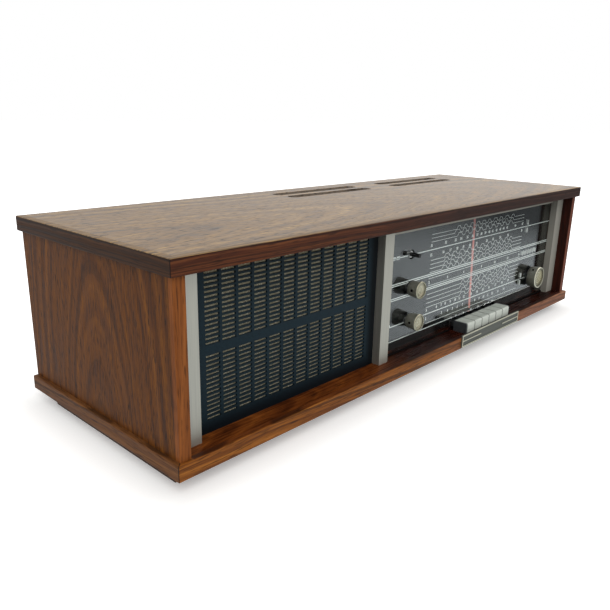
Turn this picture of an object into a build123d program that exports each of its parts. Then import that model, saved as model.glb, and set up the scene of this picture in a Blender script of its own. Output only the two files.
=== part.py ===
from build123d import *
import math
import os

os.makedirs("parts", exist_ok=True)

# All sizes are in millimetres. X runs to the right, Y to the back and Z up, and the origin is on
# the floor under the middle of the radio. Three kinds of distance place every piece: from the left
# end of the boards, back from their front edge, and up from the shelf, which is the upper face of
# the bottom board.

# Cabinet
width = 630.0
depth = 209.0
board = 12.0
opening = 125.6
lipping_width = 6.0
mitre_gap = 0.15
edge_radius = 1.0
side_inset = 4.0
side_setback = 3.5
side_thickness = 9.5
side_lipping_depth = 5.0

# Battens under the bottom board
plinth_height = 12.0
plinth_width = 14.0
plinth_side_inset = 10.0
plinth_front_inset = 34.0
long_batten_inset = 36.0
short_batten_inset = 12.0
plinth_bevel = 7.0

# Vent slots in the top board
vent_length = 132.0
vent_width = 14.0
vents_from_back = (29.0, 52.0)
vent_centres = (324.0, 501.0)

# Uprights at the front, folded from sheet aluminium
post_setback = 15.0
post_wall = 1.5
side_post_width = 17.0
centre_post_width = 13.0
centre_post_middle = 239.75

# Face of the grille and of the dial glass, and what stands behind it
face_setback = 23.0
side_play = 0.5
grille_thickness = 1.6
cloth_thickness = 0.8
baffle_thickness = 8.0
glass_thickness = 3.0
glass_play = 0.4
backplate_setback = 33.0
sheet_steel = 1.2

# Grille slots
grille_columns = 12
column_pitch = 15.03
slot_width = 12.6
slot_height = 1.9
slot_pitch = 3.35
lower_slots = 15
upper_slots = 17
lower_first_slot = 11.0
upper_first_slot = 67.5
grille_middle = 131.0

# Loudspeaker
speaker_length = 152.0
speaker_height = 98.0
cone_length = 136.0
cone_height = 84.0
basket_depth = 40.0
basket_end = 58.0
pressed_steel = 1.2
basket_opening = 22.0
basket_window = 22.0
basket_window_depth = 14.0
basket_window_spread = 42.0
flange_corner = 20.0
magnet_diameter = 62.0
magnet_length = 24.0
magnet_round = 1.5
pole_diameter = 16.0
pole_length = 10.0
cone_paper = 0.8
cone_surround = 5.0
cone_throat = 25.0
cone_depth = 27.0
speaker_screw = 3.5
speaker_screw_length = 9.5
speaker_screw_inset = 9.0
screw_head_height = 2.0
screw_slot = 0.8

# Rail over the dial
top_rail_height = 7.9
top_rail_thickness = 2.0

# Controls on the left of the dial
control_column = 287.5
upper_control = 95.0
middle_control = 62.5
lower_control = 30.3
spindle_diameter = 4.0
bare_spindle_reach = 9.4
running_clearance = 0.05
bush_diameter = 6.6
bush_in_glass = 2.0
pot_diameter = 21.0
pot_length = 10.0
pot_floor = 2.0
pot_tag = (2.0, 1.0, 8.0)
pot_tag_pitch = 5.0
spindle_slot = 0.8
spindle_slot_depth = 5.0
spindle_chamfer = 0.4
end_play = 0.5
glass_hole_play = 1.2

# Knobs
knob_gap = 1.5
small_knob_back = 14.6
small_knob_front = 17.2
small_knob_length = 12.0
tuning_knob_back = 25.2
tuning_knob_front = 27.2
tuning_knob_length = 11.7
knob_rim = 1.6
knob_rim_round = 0.6
knob_back_round = 0.6
knob_recess = 2.6
knob_wall = 1.5
inlay_thickness = 1.8
inlay_dish = 1.2
inlay_flat = 0.5
inlay_play = 0.1
grub_hole = 3.0
tuning_grub_angle = 52.0

# Tuning drive
tuning_column = 559.5
tuning_height = 28.0
shaft_diameter = 6.0
cord_diameter = 0.9
cord_clearance = 0.3
cord_setback = 38.5
collar_radius = 4.0
collar_length = 5.0
drum_radius = 42.0
drum_column = 500.0
drum_height = 54.0
pulley_radius = 8.0
pulley_height = 104.0
left_pulley_column = control_column + pot_diameter / 2 + pulley_radius
right_pulley_column = 590.0
pulley_bore = 3.0
groove_flange = 1.2
wheel_thickness = 4.5
pin_head = 5.0
pin_head_height = 1.2
pin_spacer = 6.0
drum_hub = 14.0
drum_hub_length = 10.0
drum_rim = 5.0
drum_dish = 1.5
drum_windows = 5
drum_window = 20.0
drum_window_reach = 23.5
flywheel_diameter = 44.0
flywheel_length = 10.0
flywheel_setback = 47.0
flywheel_chamfer = 1.0
bush_flange = 11.0
bush_flange_thickness = 1.5
bush_wall = 1.5
shaft_tail = 5.0

# Pointer on its rail
scale_left = 323.0
scale_right = 546.0
pointer_column = 410.0
pointer_lean = 6.4
pointer_width = 2.8
pointer_thickness = 1.0
pointer_setback = 28.5
pointer_foot = 14.5
backplate_height = 114.0
backplate_foot = 12.0
rail_height = 118.5
rail_diameter = 3.0
rail_left = 289.0
rail_right = 600.5
rail_lug = 4.0
rail_lug_overlap = 6.0
carrier_length = 12.0
carrier_depth = 5.6
carrier_top = 121.0
carrier_foot = 110.0
arm_width = 4.0
arm_thickness = 2.0
arm_clearance = 1.0

# Keys
key_count = 6
key_pitch = 15.8
key_gap = 0.9
keys_left = 372.9
key_front = 3.2
key_cap_length = 15.9
key_top = 11.4
key_bottom = 1.0
key_edge = 2.0
key_side_edge = 0.5
lever_width = 9.0
lever_bottom = 3.0
lever_top = 8.0
pivot_setback = 50.0
pivot_height = 5.5
pivot_diameter = 3.0
lever_end = 4.0
pocket_depth = 4.0
key_play = 0.5
cheek_thickness = 1.4
cheek_setback = 0.4
cheek_drop = 0.2
key_window_top = 12.8
key_frame_front = 38.0
key_frame_back = 58.0
key_frame_margin = 4.0
key_frame_ear = 1.6
key_frame_ear_reach = 6.0
key_frame_ear_height = 10.5
pivot_overhang = 1.0

# Plate on the front edge
plate_width = 128.0
plate_height = 13.2
plate_proud = 1.6
plate_foot = 1.7
plate_border = 1.5
plate_recess = 0.6
plate_bar = 1.2
plate_bar_length = 38.0

# Inner structure
partition_thickness = 10.0
rear_recess = 4.0
cover_thickness = 3.0
cover_play = 0.5
rear_batten = 10.0
cover_screw = 3.5
cover_screw_length = 11.0
cover_screw_inset = 40.0
sound_hole = 8.0
sound_hole_pitch = 16.0
sound_hole_grid = (9, 5)
heat_slot = (32.0, 5.0)
heat_slot_pitch = (14.0, 44.0)
heat_slot_grid = (20, 2)
heat_slot_middle = (450.0, 80.0)

# Chassis and what stands on it
chassis_left = 300.0
chassis_right = 600.0
chassis_front = 62.0
chassis_from_cover = 14.0
chassis_height = 34.0
valve_diameter = 21.0
valve_height = 54.0
valve_socket = 18.0
valve_socket_height = 7.0
valve_shoulder = 8.0
valve_tip = 3.0
valve_tip_radius = 2.0
valve_setback = 168.0
valve_columns = (324.0, 364.0, 461.0, 501.0, 541.0)
can_side = 20.0
can_height = 46.0
can_corner = 2.0
can_setback = 118.0
can_columns = (345.0, 392.0, 439.0)
gang_length = 46.0
gang_width = 44.0
gang_height = 42.0
gang_wall = 1.6
gang_front = 66.0
gang_margin = 3.0
stator_height = 32.0
stator_gap = 6.0
rotor_radius = 17.0
rotor_plates = 5
rotor_plate = 0.8
rotor_tail = 3.0
rotor_turn = 180.0
mains_core = (52.0, 44.0, 58.0)
mains_column = 572.0
mains_setback = 125.0
output_core = (38.0, 32.0, 34.0)
output_column = 322.0
output_setback = 84.0
winding_margin = 7.0
lamp_diameter = 9.0
lamp_length = 22.0
lamp_neck = 7.0
lamp_neck_length = 9.0
lamp_height = 118.0
lamp_columns = (268.0, 610.5)
lamp_bracket = (8.0, 1.5, 13.0)

# Sockets at the back
strip_width = 84.0
strip_height = 20.0
strip_thickness = 1.6
strip_column = 365.0
strip_level = 22.0
strip_margin = 4.0
strip_sockets = 5
strip_hole = 3.8
strip_hole_pitch = 16.0
inlet_width = 36.0
inlet_height = 20.0
inlet_wall = 2.5
inlet_column = 560.0
inlet_level = 22.0
inlet_play = 0.5
inlet_pin = 4.0
inlet_pin_pitch = 19.0
inlet_pin_length = 9.0
inlet_depth = 11.0

# Reference planes that follow from the sizes above
left = -width / 2
front = (plate_proud - depth) / 2
shelf = plinth_height + board
ceiling = shelf + opening
side_inner = side_inset + side_thickness
cover_setback = depth - rear_recess - cover_thickness
cover_back = cover_setback + cover_thickness
chassis_back = cover_setback - chassis_from_cover
glass_back = face_setback + glass_thickness
backplate_back = backplate_setback + sheet_steel
keys_width = key_count * key_pitch - key_gap
keys_right = keys_left + keys_width
keys_middle = keys_left + keys_width / 2
keys_back = key_front + key_cap_length


def place(from_left, from_front, from_shelf):
    """A point given by its three distances, in the model's own frame."""
    return (left + from_left, front + from_front, shelf + from_shelf)


def block(low, high, mode=Mode.ADD):
    """A box between two corners, each given by its three distances."""
    size = [b - a for a, b in zip(low, high)]
    with Locations(place(*low)):
        Box(*size, align=Align.MIN, mode=mode)


def rod(column, height, start, end, radius, mode=Mode.ADD):
    """A cylinder that runs back from one setback to another."""
    centred = (Align.CENTER, Align.CENTER, Align.MIN)
    with Locations(place(column, start, height)):
        Cylinder(radius, end - start, rotation=(-90, 0, 0), align=centred, mode=mode)


def facing(setback):
    """The upright plane at a setback, seen from the front."""
    return Plane.XZ.offset(-(front + setback))


def on_face(column, height):
    """A point on such a plane."""
    return (left + column, shelf + height)


# Top board: veneered chipboard with four vent slots milled through it
with BuildPart() as top_board:
    with BuildSketch(Plane.XY.offset(ceiling)):
        with Locations((0, front + lipping_width)):
            Rectangle(
                width - 2 * lipping_width,
                depth - lipping_width,
                align=(Align.CENTER, Align.MIN),
            )
        for from_back in vents_from_back:
            for column in vent_centres:
                with Locations((left + column, front + depth - from_back)):
                    SlotOverall(vent_length, vent_width, mode=Mode.SUBTRACT)
    extrude(amount=board)
top_board.part.label = "top_board"
export_step(top_board.part, "parts/top_board.step")

# Bottom board, with a pocket that gives the keys room to go down
pocket_low = (keys_left - key_play, key_front - key_play, -pocket_depth)
pocket_high = (keys_right + key_play, glass_back, 0)
with BuildPart() as bottom_board:
    with BuildSketch(Plane.XY.offset(plinth_height)):
        with Locations((0, front + lipping_width)):
            Rectangle(
                width - 2 * lipping_width,
                depth - lipping_width,
                align=(Align.CENTER, Align.MIN),
            )
    extrude(amount=board)
    block(pocket_low, pocket_high, Mode.SUBTRACT)
bottom_board.part.label = "bottom_board"
export_step(bottom_board.part, "parts/bottom_board.step")

# Solid lippings, mitred at the front corners of both boards
outer = width / 2
inner = outer - lipping_width
gap = mitre_gap / 2
with BuildPart() as board_lippings:
    with BuildSketch(Plane.XY.offset(plinth_height), Plane.XY.offset(ceiling)):
        with BuildLine():
            Polyline(
                (-outer + gap, front),
                (outer - gap, front),
                (inner - gap, front + lipping_width),
                (-inner + gap, front + lipping_width),
                close=True,
            )
        make_face()
        for side in (-1, 1):
            with BuildLine():
                Polyline(
                    (side * outer, front + gap),
                    (side * outer, front + depth),
                    (side * inner, front + depth),
                    (side * inner, front + lipping_width + gap),
                    close=True,
                )
            make_face()
    extrude(amount=board)
    block(pocket_low, pocket_high, Mode.SUBTRACT)
    level = board_lippings.edges().filter_by(Plane.XY)
    front_edges = level.filter_by(Axis.X).group_by(Axis.Y)[0]
    end_edges = level.filter_by(Axis.Y).group_by(Axis.X)
    fillet(front_edges + end_edges[0] + end_edges[-1], edge_radius)
board_lippings.part.label = "board_lippings"
export_step(board_lippings.part, "parts/board_lippings.step")

# Side panels stand between the boards
panel_front = side_setback + side_lipping_depth
with BuildPart() as left_side_panel:
    block((side_inset, panel_front, 0), (side_inner, depth, opening))
left_side_panel.part.label = "left_side_panel"
export_step(left_side_panel.part, "parts/left_side_panel.step")

with BuildPart() as right_side_panel:
    block((width - side_inner, panel_front, 0), (width - side_inset, depth, opening))
right_side_panel.part.label = "right_side_panel"
export_step(right_side_panel.part, "parts/right_side_panel.step")

# Solid front lippings of the two side panels
with BuildPart() as side_lippings:
    block((side_inset, side_setback, 0), (side_inner, panel_front, opening))
    block(
        (width - side_inner, side_setback, 0),
        (width - side_inset, panel_front, opening),
    )
    fillet(side_lippings.edges().filter_by(Axis.Z).group_by(Axis.Y)[0], edge_radius)
side_lippings.part.label = "side_lippings"
export_step(side_lippings.part, "parts/side_lippings.step")

# Four battens under the bottom board, with bevelled ends
batten_rows = (
    front + plinth_front_inset + plinth_width / 2,
    front + depth - plinth_front_inset - plinth_width / 2,
)
batten_columns = (
    left + plinth_side_inset + plinth_width / 2,
    -left - plinth_side_inset - plinth_width / 2,
)
long_half = width / 2 - long_batten_inset
short_half = depth / 2 - short_batten_inset
with BuildPart() as plinth_battens:
    for row in batten_rows:
        with BuildSketch(Plane.XZ.offset(-row)):
            with BuildLine():
                Polyline(
                    (-long_half, plinth_height),
                    (long_half, plinth_height),
                    (long_half - plinth_bevel, 0),
                    (-long_half + plinth_bevel, 0),
                    close=True,
                )
            make_face()
        extrude(amount=plinth_width / 2, both=True)
    for column in batten_columns:
        middle = front + depth / 2
        with BuildSketch(Plane.YZ.offset(column)):
            with BuildLine():
                Polyline(
                    (middle - short_half, plinth_height),
                    (middle + short_half, plinth_height),
                    (middle + short_half - plinth_bevel, 0),
                    (middle - short_half + plinth_bevel, 0),
                    close=True,
                )
            make_face()
        extrude(amount=plinth_width / 2, both=True)
plinth_battens.part.label = "plinth_battens"
export_step(plinth_battens.part, "parts/plinth_battens.step")

# Partition between the loudspeaker and the works, behind the centre upright
partition_left = centre_post_middle - partition_thickness / 2
with BuildPart() as partition:
    block(
        (partition_left, glass_back, 0),
        (partition_left + partition_thickness, cover_setback - rear_batten, opening),
    )
partition.part.label = "partition"
export_step(partition.part, "parts/partition.step")

# Battens that take the rear cover's screws
cover_screw_spots = [
    (column, row)
    for row in (rear_batten / 2, opening - rear_batten / 2)
    for column in (cover_screw_inset, width / 2, width - cover_screw_inset)
]
cover_screw_tip = cover_back - cover_screw_length
with BuildPart() as rear_battens:
    for foot in (0, opening - rear_batten):
        block(
            (side_inner, cover_setback - rear_batten, foot),
            (width - side_inner, cover_setback, foot + rear_batten),
        )
    for column, row in cover_screw_spots:
        hole = cover_screw / 2
        rod(column, row, cover_screw_tip, cover_setback, hole, Mode.SUBTRACT)
rear_battens.part.label = "rear_battens"
export_step(rear_battens.part, "parts/rear_battens.step")

# Rear cover of perforated hardboard
with BuildPart() as rear_cover:
    with BuildSketch(facing(cover_setback)):
        with Locations(on_face(width / 2, opening / 2)):
            Rectangle(width - 2 * side_inner - 2 * cover_play, opening - 2 * cover_play)
        with Locations(on_face(grille_middle, opening / 2)):
            with GridLocations(sound_hole_pitch, sound_hole_pitch, *sound_hole_grid):
                Circle(sound_hole / 2, mode=Mode.SUBTRACT)
        with Locations(on_face(*heat_slot_middle)):
            with GridLocations(*heat_slot_pitch, *heat_slot_grid):
                SlotOverall(*heat_slot, rotation=90, mode=Mode.SUBTRACT)
        with Locations(on_face(strip_column, strip_level)):
            Rectangle(
                strip_width - 2 * strip_margin,
                strip_height - strip_margin,
                mode=Mode.SUBTRACT,
            )
        with Locations(on_face(inlet_column, inlet_level)):
            Rectangle(
                inlet_width + 2 * inlet_play,
                inlet_height + 2 * inlet_play,
                mode=Mode.SUBTRACT,
            )
        for spot in cover_screw_spots:
            with Locations(on_face(*spot)):
                Circle(cover_screw / 2, mode=Mode.SUBTRACT)
    extrude(amount=-cover_thickness)
rear_cover.part.label = "rear_cover"
export_step(rear_cover.part, "parts/rear_cover.step")

# Six pan head screws of the rear cover
with BuildPart() as rear_cover_screws:
    for column, row in cover_screw_spots:
        head_top = cover_back + screw_head_height
        rod(column, row, cover_screw_tip, cover_back, cover_screw / 2)
        rod(column, row, cover_back, head_top, cover_screw)
        slot_low = (column - cover_screw, head_top - screw_slot, row - screw_slot / 2)
        slot_high = (column + cover_screw, head_top, row + screw_slot / 2)
        block(slot_low, slot_high, Mode.SUBTRACT)
rear_cover_screws.part.label = "rear_cover_screws"
export_step(rear_cover_screws.part, "parts/rear_cover_screws.step")

# Left upright: an angle with its flange on the grille
left_post_edge = side_inner + side_post_width
with BuildPart() as left_post:
    block(
        (side_inner, post_setback, 0),
        (left_post_edge, post_setback + post_wall, opening),
    )
    block(
        (left_post_edge - post_wall, post_setback, 0),
        (left_post_edge, face_setback, opening),
    )
left_post.part.label = "left_post"
export_step(left_post.part, "parts/left_post.step")

# Right upright: the same angle, the other hand
right_post_edge = width - side_inner - side_post_width
with BuildPart() as right_post:
    block(
        (right_post_edge, post_setback, 0),
        (width - side_inner, post_setback + post_wall, opening),
    )
    block(
        (right_post_edge, post_setback, 0),
        (right_post_edge + post_wall, face_setback, opening),
    )
right_post.part.label = "right_post"
export_step(right_post.part, "parts/right_post.step")

# Centre upright: a channel that covers the joint of grille and glass
centre_left = centre_post_middle - centre_post_width / 2
centre_right = centre_left + centre_post_width
with BuildPart() as centre_post:
    block((centre_left, post_setback, 0), (centre_right, face_setback, opening))
    block(
        (centre_left + post_wall, post_setback + post_wall, 0),
        (centre_right - post_wall, face_setback, opening),
        Mode.SUBTRACT,
    )
centre_post.part.label = "centre_post"
export_step(centre_post.part, "parts/centre_post.step")

# Aluminium rail across the top of the dial glass
with BuildPart() as dial_top_rail:
    block(
        (centre_right, face_setback - top_rail_thickness, opening - top_rail_height),
        (right_post_edge, face_setback, opening),
    )
dial_top_rail.part.label = "dial_top_rail"
export_step(dial_top_rail.part, "parts/dial_top_rail.step")

# Plate on the front edge under the keys: a border, a sunk field and two bars
plate_middle = plinth_height + plate_foot + plate_height / 2
with BuildPart() as front_plate:
    with BuildSketch(Plane.XZ.offset(-front)):
        with Locations((left + keys_middle, plate_middle)):
            Rectangle(plate_width, plate_height)
    extrude(amount=plate_proud)
    with BuildSketch(Plane.XZ.offset(-front + plate_proud)):
        with Locations((left + keys_middle, plate_middle)):
            Rectangle(plate_width - 2 * plate_border, plate_height - 2 * plate_border)
        bar_shift = plate_width / 2 - plate_border - plate_bar_length / 2
        for side in (-1, 1):
            with Locations((left + keys_middle + side * bar_shift, plate_middle)):
                Rectangle(plate_bar_length, plate_bar, mode=Mode.SUBTRACT)
    extrude(amount=-plate_recess, mode=Mode.SUBTRACT)
front_plate.part.label = "front_plate"
export_step(front_plate.part, "parts/front_plate.step")

# Grille: a pressed panel with two groups of slots in twelve columns
grille_left = side_inner + side_play
grille_right = centre_post_middle - side_play / 2
first_column = grille_middle - (grille_columns - 1) * column_pitch / 2
slot_rows = [lower_first_slot + n * slot_pitch for n in range(lower_slots)]
slot_rows += [upper_first_slot + n * slot_pitch for n in range(upper_slots)]
with BuildPart() as grille_panel:
    with BuildSketch(facing(face_setback)):
        with Locations(on_face((grille_left + grille_right) / 2, opening / 2)):
            Rectangle(grille_right - grille_left, opening)
        spots = [
            on_face(first_column + n * column_pitch, row)
            for n in range(grille_columns)
            for row in slot_rows
        ]
        with Locations(*spots):
            Rectangle(slot_width, slot_height, mode=Mode.SUBTRACT)
    extrude(amount=-grille_thickness)
grille_panel.part.label = "grille_panel"
export_step(grille_panel.part, "parts/grille_panel.step")

# Speaker cloth, stretched between the grille and the baffle
cloth_front = face_setback + grille_thickness
with BuildPart() as speaker_cloth:
    block(
        (grille_left, cloth_front, 0),
        (grille_right, cloth_front + cloth_thickness, opening),
    )
speaker_cloth.part.label = "speaker_cloth"
export_step(speaker_cloth.part, "parts/speaker_cloth.step")

# Baffle board with the oval opening in front of the cone
baffle_front = cloth_front + cloth_thickness
baffle_back = baffle_front + baffle_thickness
basket_front = baffle_back + cone_paper
basket_back = basket_front + basket_depth
flange_back = basket_front + pressed_steel
speaker_screw_tip = flange_back - speaker_screw_length
speaker_middle = opening / 2
screw_spots = [
    (
        grille_middle + across * (speaker_length / 2 - speaker_screw_inset),
        speaker_middle + up * (speaker_height / 2 - speaker_screw_inset),
    )
    for across in (-1, 1)
    for up in (-1, 1)
]
with BuildPart() as baffle_board:
    block((side_inner, baffle_front, 0), (partition_left, baffle_back, opening))
    with BuildSketch(facing(baffle_front)):
        with Locations(on_face(grille_middle, speaker_middle)):
            Ellipse(cone_length / 2, cone_height / 2)
    extrude(amount=-baffle_thickness, mode=Mode.SUBTRACT)
    for column, row in screw_spots:
        hole = speaker_screw / 2
        rod(column, row, speaker_screw_tip, baffle_back, hole, Mode.SUBTRACT)
baffle_board.part.label = "baffle_board"
export_step(baffle_board.part, "parts/baffle_board.step")

# Paper cone; its rim is the gasket between the baffle and the basket
mouth_across = cone_length / 2 - cone_surround
mouth_up = cone_height / 2 - cone_surround
with BuildPart() as speaker_cone:
    with BuildSketch(facing(baffle_back)):
        with Locations(on_face(grille_middle, speaker_middle)):
            RectangleRounded(speaker_length, speaker_height, flange_corner)
            Ellipse(
                mouth_across - cone_paper, mouth_up - cone_paper, mode=Mode.SUBTRACT
            )
        for spot in screw_spots:
            with Locations(on_face(*spot)):
                Circle(speaker_screw / 2, mode=Mode.SUBTRACT)
    extrude(amount=-cone_paper)
    with BuildSketch(facing(baffle_back)):
        with Locations(on_face(grille_middle, speaker_middle)):
            Ellipse(mouth_across, mouth_up)
    with BuildSketch(facing(baffle_back + cone_depth)):
        with Locations(on_face(grille_middle, speaker_middle)):
            Circle(cone_throat / 2)
    loft()
    with BuildSketch(facing(baffle_back)):
        with Locations(on_face(grille_middle, speaker_middle)):
            Ellipse(mouth_across - cone_paper, mouth_up - cone_paper)
    with BuildSketch(facing(baffle_back + cone_depth - cone_paper)):
        with Locations(on_face(grille_middle, speaker_middle)):
            Circle(cone_throat / 2 - cone_paper)
    loft(mode=Mode.SUBTRACT)
speaker_cone.part.label = "speaker_cone"
export_step(speaker_cone.part, "parts/speaker_cone.step")

# Loudspeaker basket: a flat flange and a dished body with windows
with BuildPart() as speaker_basket:
    with BuildSketch(facing(basket_front)):
        with Locations(on_face(grille_middle, speaker_middle)):
            RectangleRounded(speaker_length, speaker_height, flange_corner)
    extrude(amount=-pressed_steel)
    with BuildSketch(facing(basket_front)):
        with Locations(on_face(grille_middle, speaker_middle)):
            Ellipse(cone_length / 2 + pressed_steel, cone_height / 2 + pressed_steel)
    with BuildSketch(facing(basket_back)):
        with Locations(on_face(grille_middle, speaker_middle)):
            Circle(basket_end / 2)
    loft()
    with BuildSketch(facing(basket_front)):
        with Locations(on_face(grille_middle, speaker_middle)):
            Ellipse(cone_length / 2, cone_height / 2)
    with BuildSketch(facing(basket_back - pressed_steel)):
        with Locations(on_face(grille_middle, speaker_middle)):
            Circle(basket_end / 2 - pressed_steel)
    loft(mode=Mode.SUBTRACT)
    hole = basket_opening / 2
    rod(grille_middle, speaker_middle, basket_front, basket_back, hole, Mode.SUBTRACT)
    for across in (-1, 1):
        window = grille_middle + across * basket_window_spread
        window_front = flange_back + basket_window_depth / 2
        block(
            (window - basket_window / 2, window_front, 0),
            (window + basket_window / 2, window_front + basket_window_depth, opening),
            Mode.SUBTRACT,
        )
    for column, row in screw_spots:
        rod(column, row, basket_front, basket_back, speaker_screw / 2, Mode.SUBTRACT)
speaker_basket.part.label = "speaker_basket"
export_step(speaker_basket.part, "parts/speaker_basket.step")

# Magnet with its centre pole
with BuildPart() as speaker_magnet:
    magnet_back = basket_back + magnet_length
    rod(grille_middle, speaker_middle, basket_back, magnet_back, magnet_diameter / 2)
    fillet(speaker_magnet.edges().filter_by(GeomType.CIRCLE), magnet_round)
    pole_front = basket_back - pole_length
    rod(grille_middle, speaker_middle, pole_front, basket_back, pole_diameter / 2)
speaker_magnet.part.label = "speaker_magnet"
export_step(speaker_magnet.part, "parts/speaker_magnet.step")

# Four screws hold the loudspeaker to the baffle
with BuildPart() as speaker_screws:
    for column, row in screw_spots:
        rod(column, row, speaker_screw_tip, flange_back, speaker_screw / 2)
        rod(column, row, flange_back, flange_back + screw_head_height, speaker_screw)
speaker_screws.part.label = "speaker_screws"
export_step(speaker_screws.part, "parts/speaker_screws.step")

# Dial glass, drilled for the controls and notched for the keys
control_rows = (upper_control, middle_control, lower_control)
window_left = keys_left - cheek_thickness - 2 * key_play
window_right = keys_right + cheek_thickness + 2 * key_play
with BuildPart() as dial_glass:
    with BuildSketch(facing(face_setback)):
        glass_left = centre_post_middle + side_play / 2
        glass_right = width - side_inner - side_play
        with Locations(on_face((glass_left + glass_right) / 2, opening / 2)):
            Rectangle(glass_right - glass_left, opening - 2 * glass_play)
        for row in control_rows:
            with Locations(on_face(control_column, row)):
                Circle(bush_diameter / 2 + glass_hole_play, mode=Mode.SUBTRACT)
        with Locations(on_face(tuning_column, tuning_height)):
            Circle(shaft_diameter / 2 + glass_hole_play, mode=Mode.SUBTRACT)
        with Locations(on_face((window_left + window_right) / 2, key_window_top / 2)):
            Rectangle(window_right - window_left, key_window_top, mode=Mode.SUBTRACT)
    extrude(amount=-glass_thickness)
dial_glass.part.label = "dial_glass"
export_step(dial_glass.part, "parts/dial_glass.step")

# Black backplate that carries the controls, the pulley pins and the pointer rail
plate_left = centre_right + side_play
plate_right = width - side_inner - side_play
lug_back = cord_setback + rail_diameter
with BuildPart() as dial_backplate:
    with BuildSketch(facing(backplate_setback)):
        with Locations(on_face((plate_left + plate_right) / 2, backplate_height / 2)):
            Rectangle(plate_right - plate_left, backplate_height)
        for row in control_rows:
            with Locations(on_face(control_column, row)):
                Circle(bush_diameter / 2, mode=Mode.SUBTRACT)
        with Locations(on_face(tuning_column, tuning_height)):
            Circle(shaft_diameter / 2 + bush_wall, mode=Mode.SUBTRACT)
        with Locations(on_face((window_left + window_right) / 2, key_window_top / 2)):
            Rectangle(window_right - window_left, key_window_top, mode=Mode.SUBTRACT)
    extrude(amount=-sheet_steel)
    for foot_left, foot_right in (
        (plate_left, window_left - key_frame_margin),
        (window_right + key_frame_margin, plate_right),
    ):
        block(
            (foot_left, backplate_back, 0),
            (foot_right, backplate_back + backplate_foot, sheet_steel),
        )
    for column in (left_pulley_column, right_pulley_column):
        spacer_end = cord_setback - wheel_thickness / 2 - end_play
        pin_end = cord_setback + wheel_thickness / 2 + end_play
        head_end = pin_end + pin_head_height
        rod(column, pulley_height, backplate_back, pin_end, pulley_bore / 2)
        rod(column, pulley_height, backplate_back, spacer_end, pin_spacer / 2)
        rod(column, pulley_height, pin_end, head_end, pin_head / 2)
    for column in (rail_left, rail_right):
        block(
            (column, backplate_back, backplate_height - rail_lug_overlap),
            (column + rail_lug, lug_back, rail_height + rail_diameter),
        )
    with Locations(place(rail_left + rail_lug, cord_setback, rail_height)):
        Cylinder(
            rail_diameter / 2,
            rail_right - rail_left - rail_lug,
            rotation=(0, 90, 0),
            align=(Align.CENTER, Align.CENTER, Align.MIN),
        )
dial_backplate.part.label = "dial_backplate"
export_step(dial_backplate.part, "parts/dial_backplate.step")

# Three potentiometers with threaded bushes through the backplate
pot_end = backplate_back + pot_length
bush_front = glass_back - bush_in_glass
tag_width, tag_thickness, tag_length = pot_tag
with BuildPart() as potentiometers:
    for row in control_rows:
        bore = spindle_diameter / 2 + running_clearance
        rod(control_column, row, backplate_back, pot_end, pot_diameter / 2)
        rod(control_column, row, bush_front, backplate_back, bush_diameter / 2)
        rod(control_column, row, bush_front, pot_end - pot_floor, bore, Mode.SUBTRACT)
        for side in (-1, 0, 1):
            tag_left = control_column + side * pot_tag_pitch - tag_width / 2
            tag_front = (backplate_back + pot_end) / 2
            tag_foot = row - pot_diameter / 2 - tag_length / 2
            block(
                (tag_left, tag_front, tag_foot),
                (tag_left + tag_width, tag_front + tag_thickness, tag_foot + tag_length),
            )
potentiometers.part.label = "potentiometers"
export_step(potentiometers.part, "parts/potentiometers.step")

spindle_end = pot_end - pot_floor - end_play
knob_seat = face_setback - knob_gap


def make_spindle(label, row, start):
    """A control spindle from its slotted front end to inside its potentiometer."""
    with BuildPart() as spindle:
        rod(control_column, row, start, spindle_end, spindle_diameter / 2)
        chamfer(spindle.faces().sort_by(Axis.Y)[0].edges(), spindle_chamfer)
        block(
            (control_column - spindle_slot / 2, start, row - spindle_diameter),
            (
                control_column + spindle_slot / 2,
                start + spindle_slot_depth,
                row + spindle_diameter,
            ),
            Mode.SUBTRACT,
        )
    spindle.part.label = label
    export_step(spindle.part, f"parts/{label}.step")


def make_knob(label, column, row, back, mouth, length, shaft, grub_angle):
    """A turned knob that widens to its front rim, with a blind bore and a grub screw hole."""
    recess_radius = mouth / 2 - knob_rim
    bore_depth = length - knob_recess - knob_wall
    with BuildPart() as knob:
        with BuildSketch(Plane.YZ.offset(left + column)):
            back_y = front + knob_seat
            mouth_y = back_y - length
            middle_z = shelf + row
            with BuildLine():
                Polyline(
                    (back_y, middle_z),
                    (back_y, middle_z + back / 2 - knob_back_round),
                    (back_y - knob_back_round, middle_z + back / 2),
                    (mouth_y + knob_rim_round, middle_z + mouth / 2),
                    (mouth_y, middle_z + mouth / 2 - knob_rim_round),
                    (mouth_y, middle_z + recess_radius),
                    (mouth_y + knob_recess, middle_z + recess_radius),
                    (mouth_y + knob_recess, middle_z),
                    close=True,
                )
            make_face()
        revolve(axis=Axis((left + column, front, middle_z), (0, 1, 0)))
        bore = shaft / 2 + running_clearance
        rod(column, row, knob_seat - bore_depth, knob_seat, bore, Mode.SUBTRACT)
        angle = math.radians(grub_angle)
        spot = place(column, knob_seat - length / 2, row)
        out = Plane(spot, x_dir=(0, 1, 0), z_dir=(-math.cos(angle), 0, math.sin(angle)))
        with BuildSketch(out):
            Circle(grub_hole / 2)
        extrude(amount=mouth / 2, mode=Mode.SUBTRACT)
    knob.part.label = label
    export_step(knob.part, f"parts/{label}.step")


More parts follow.
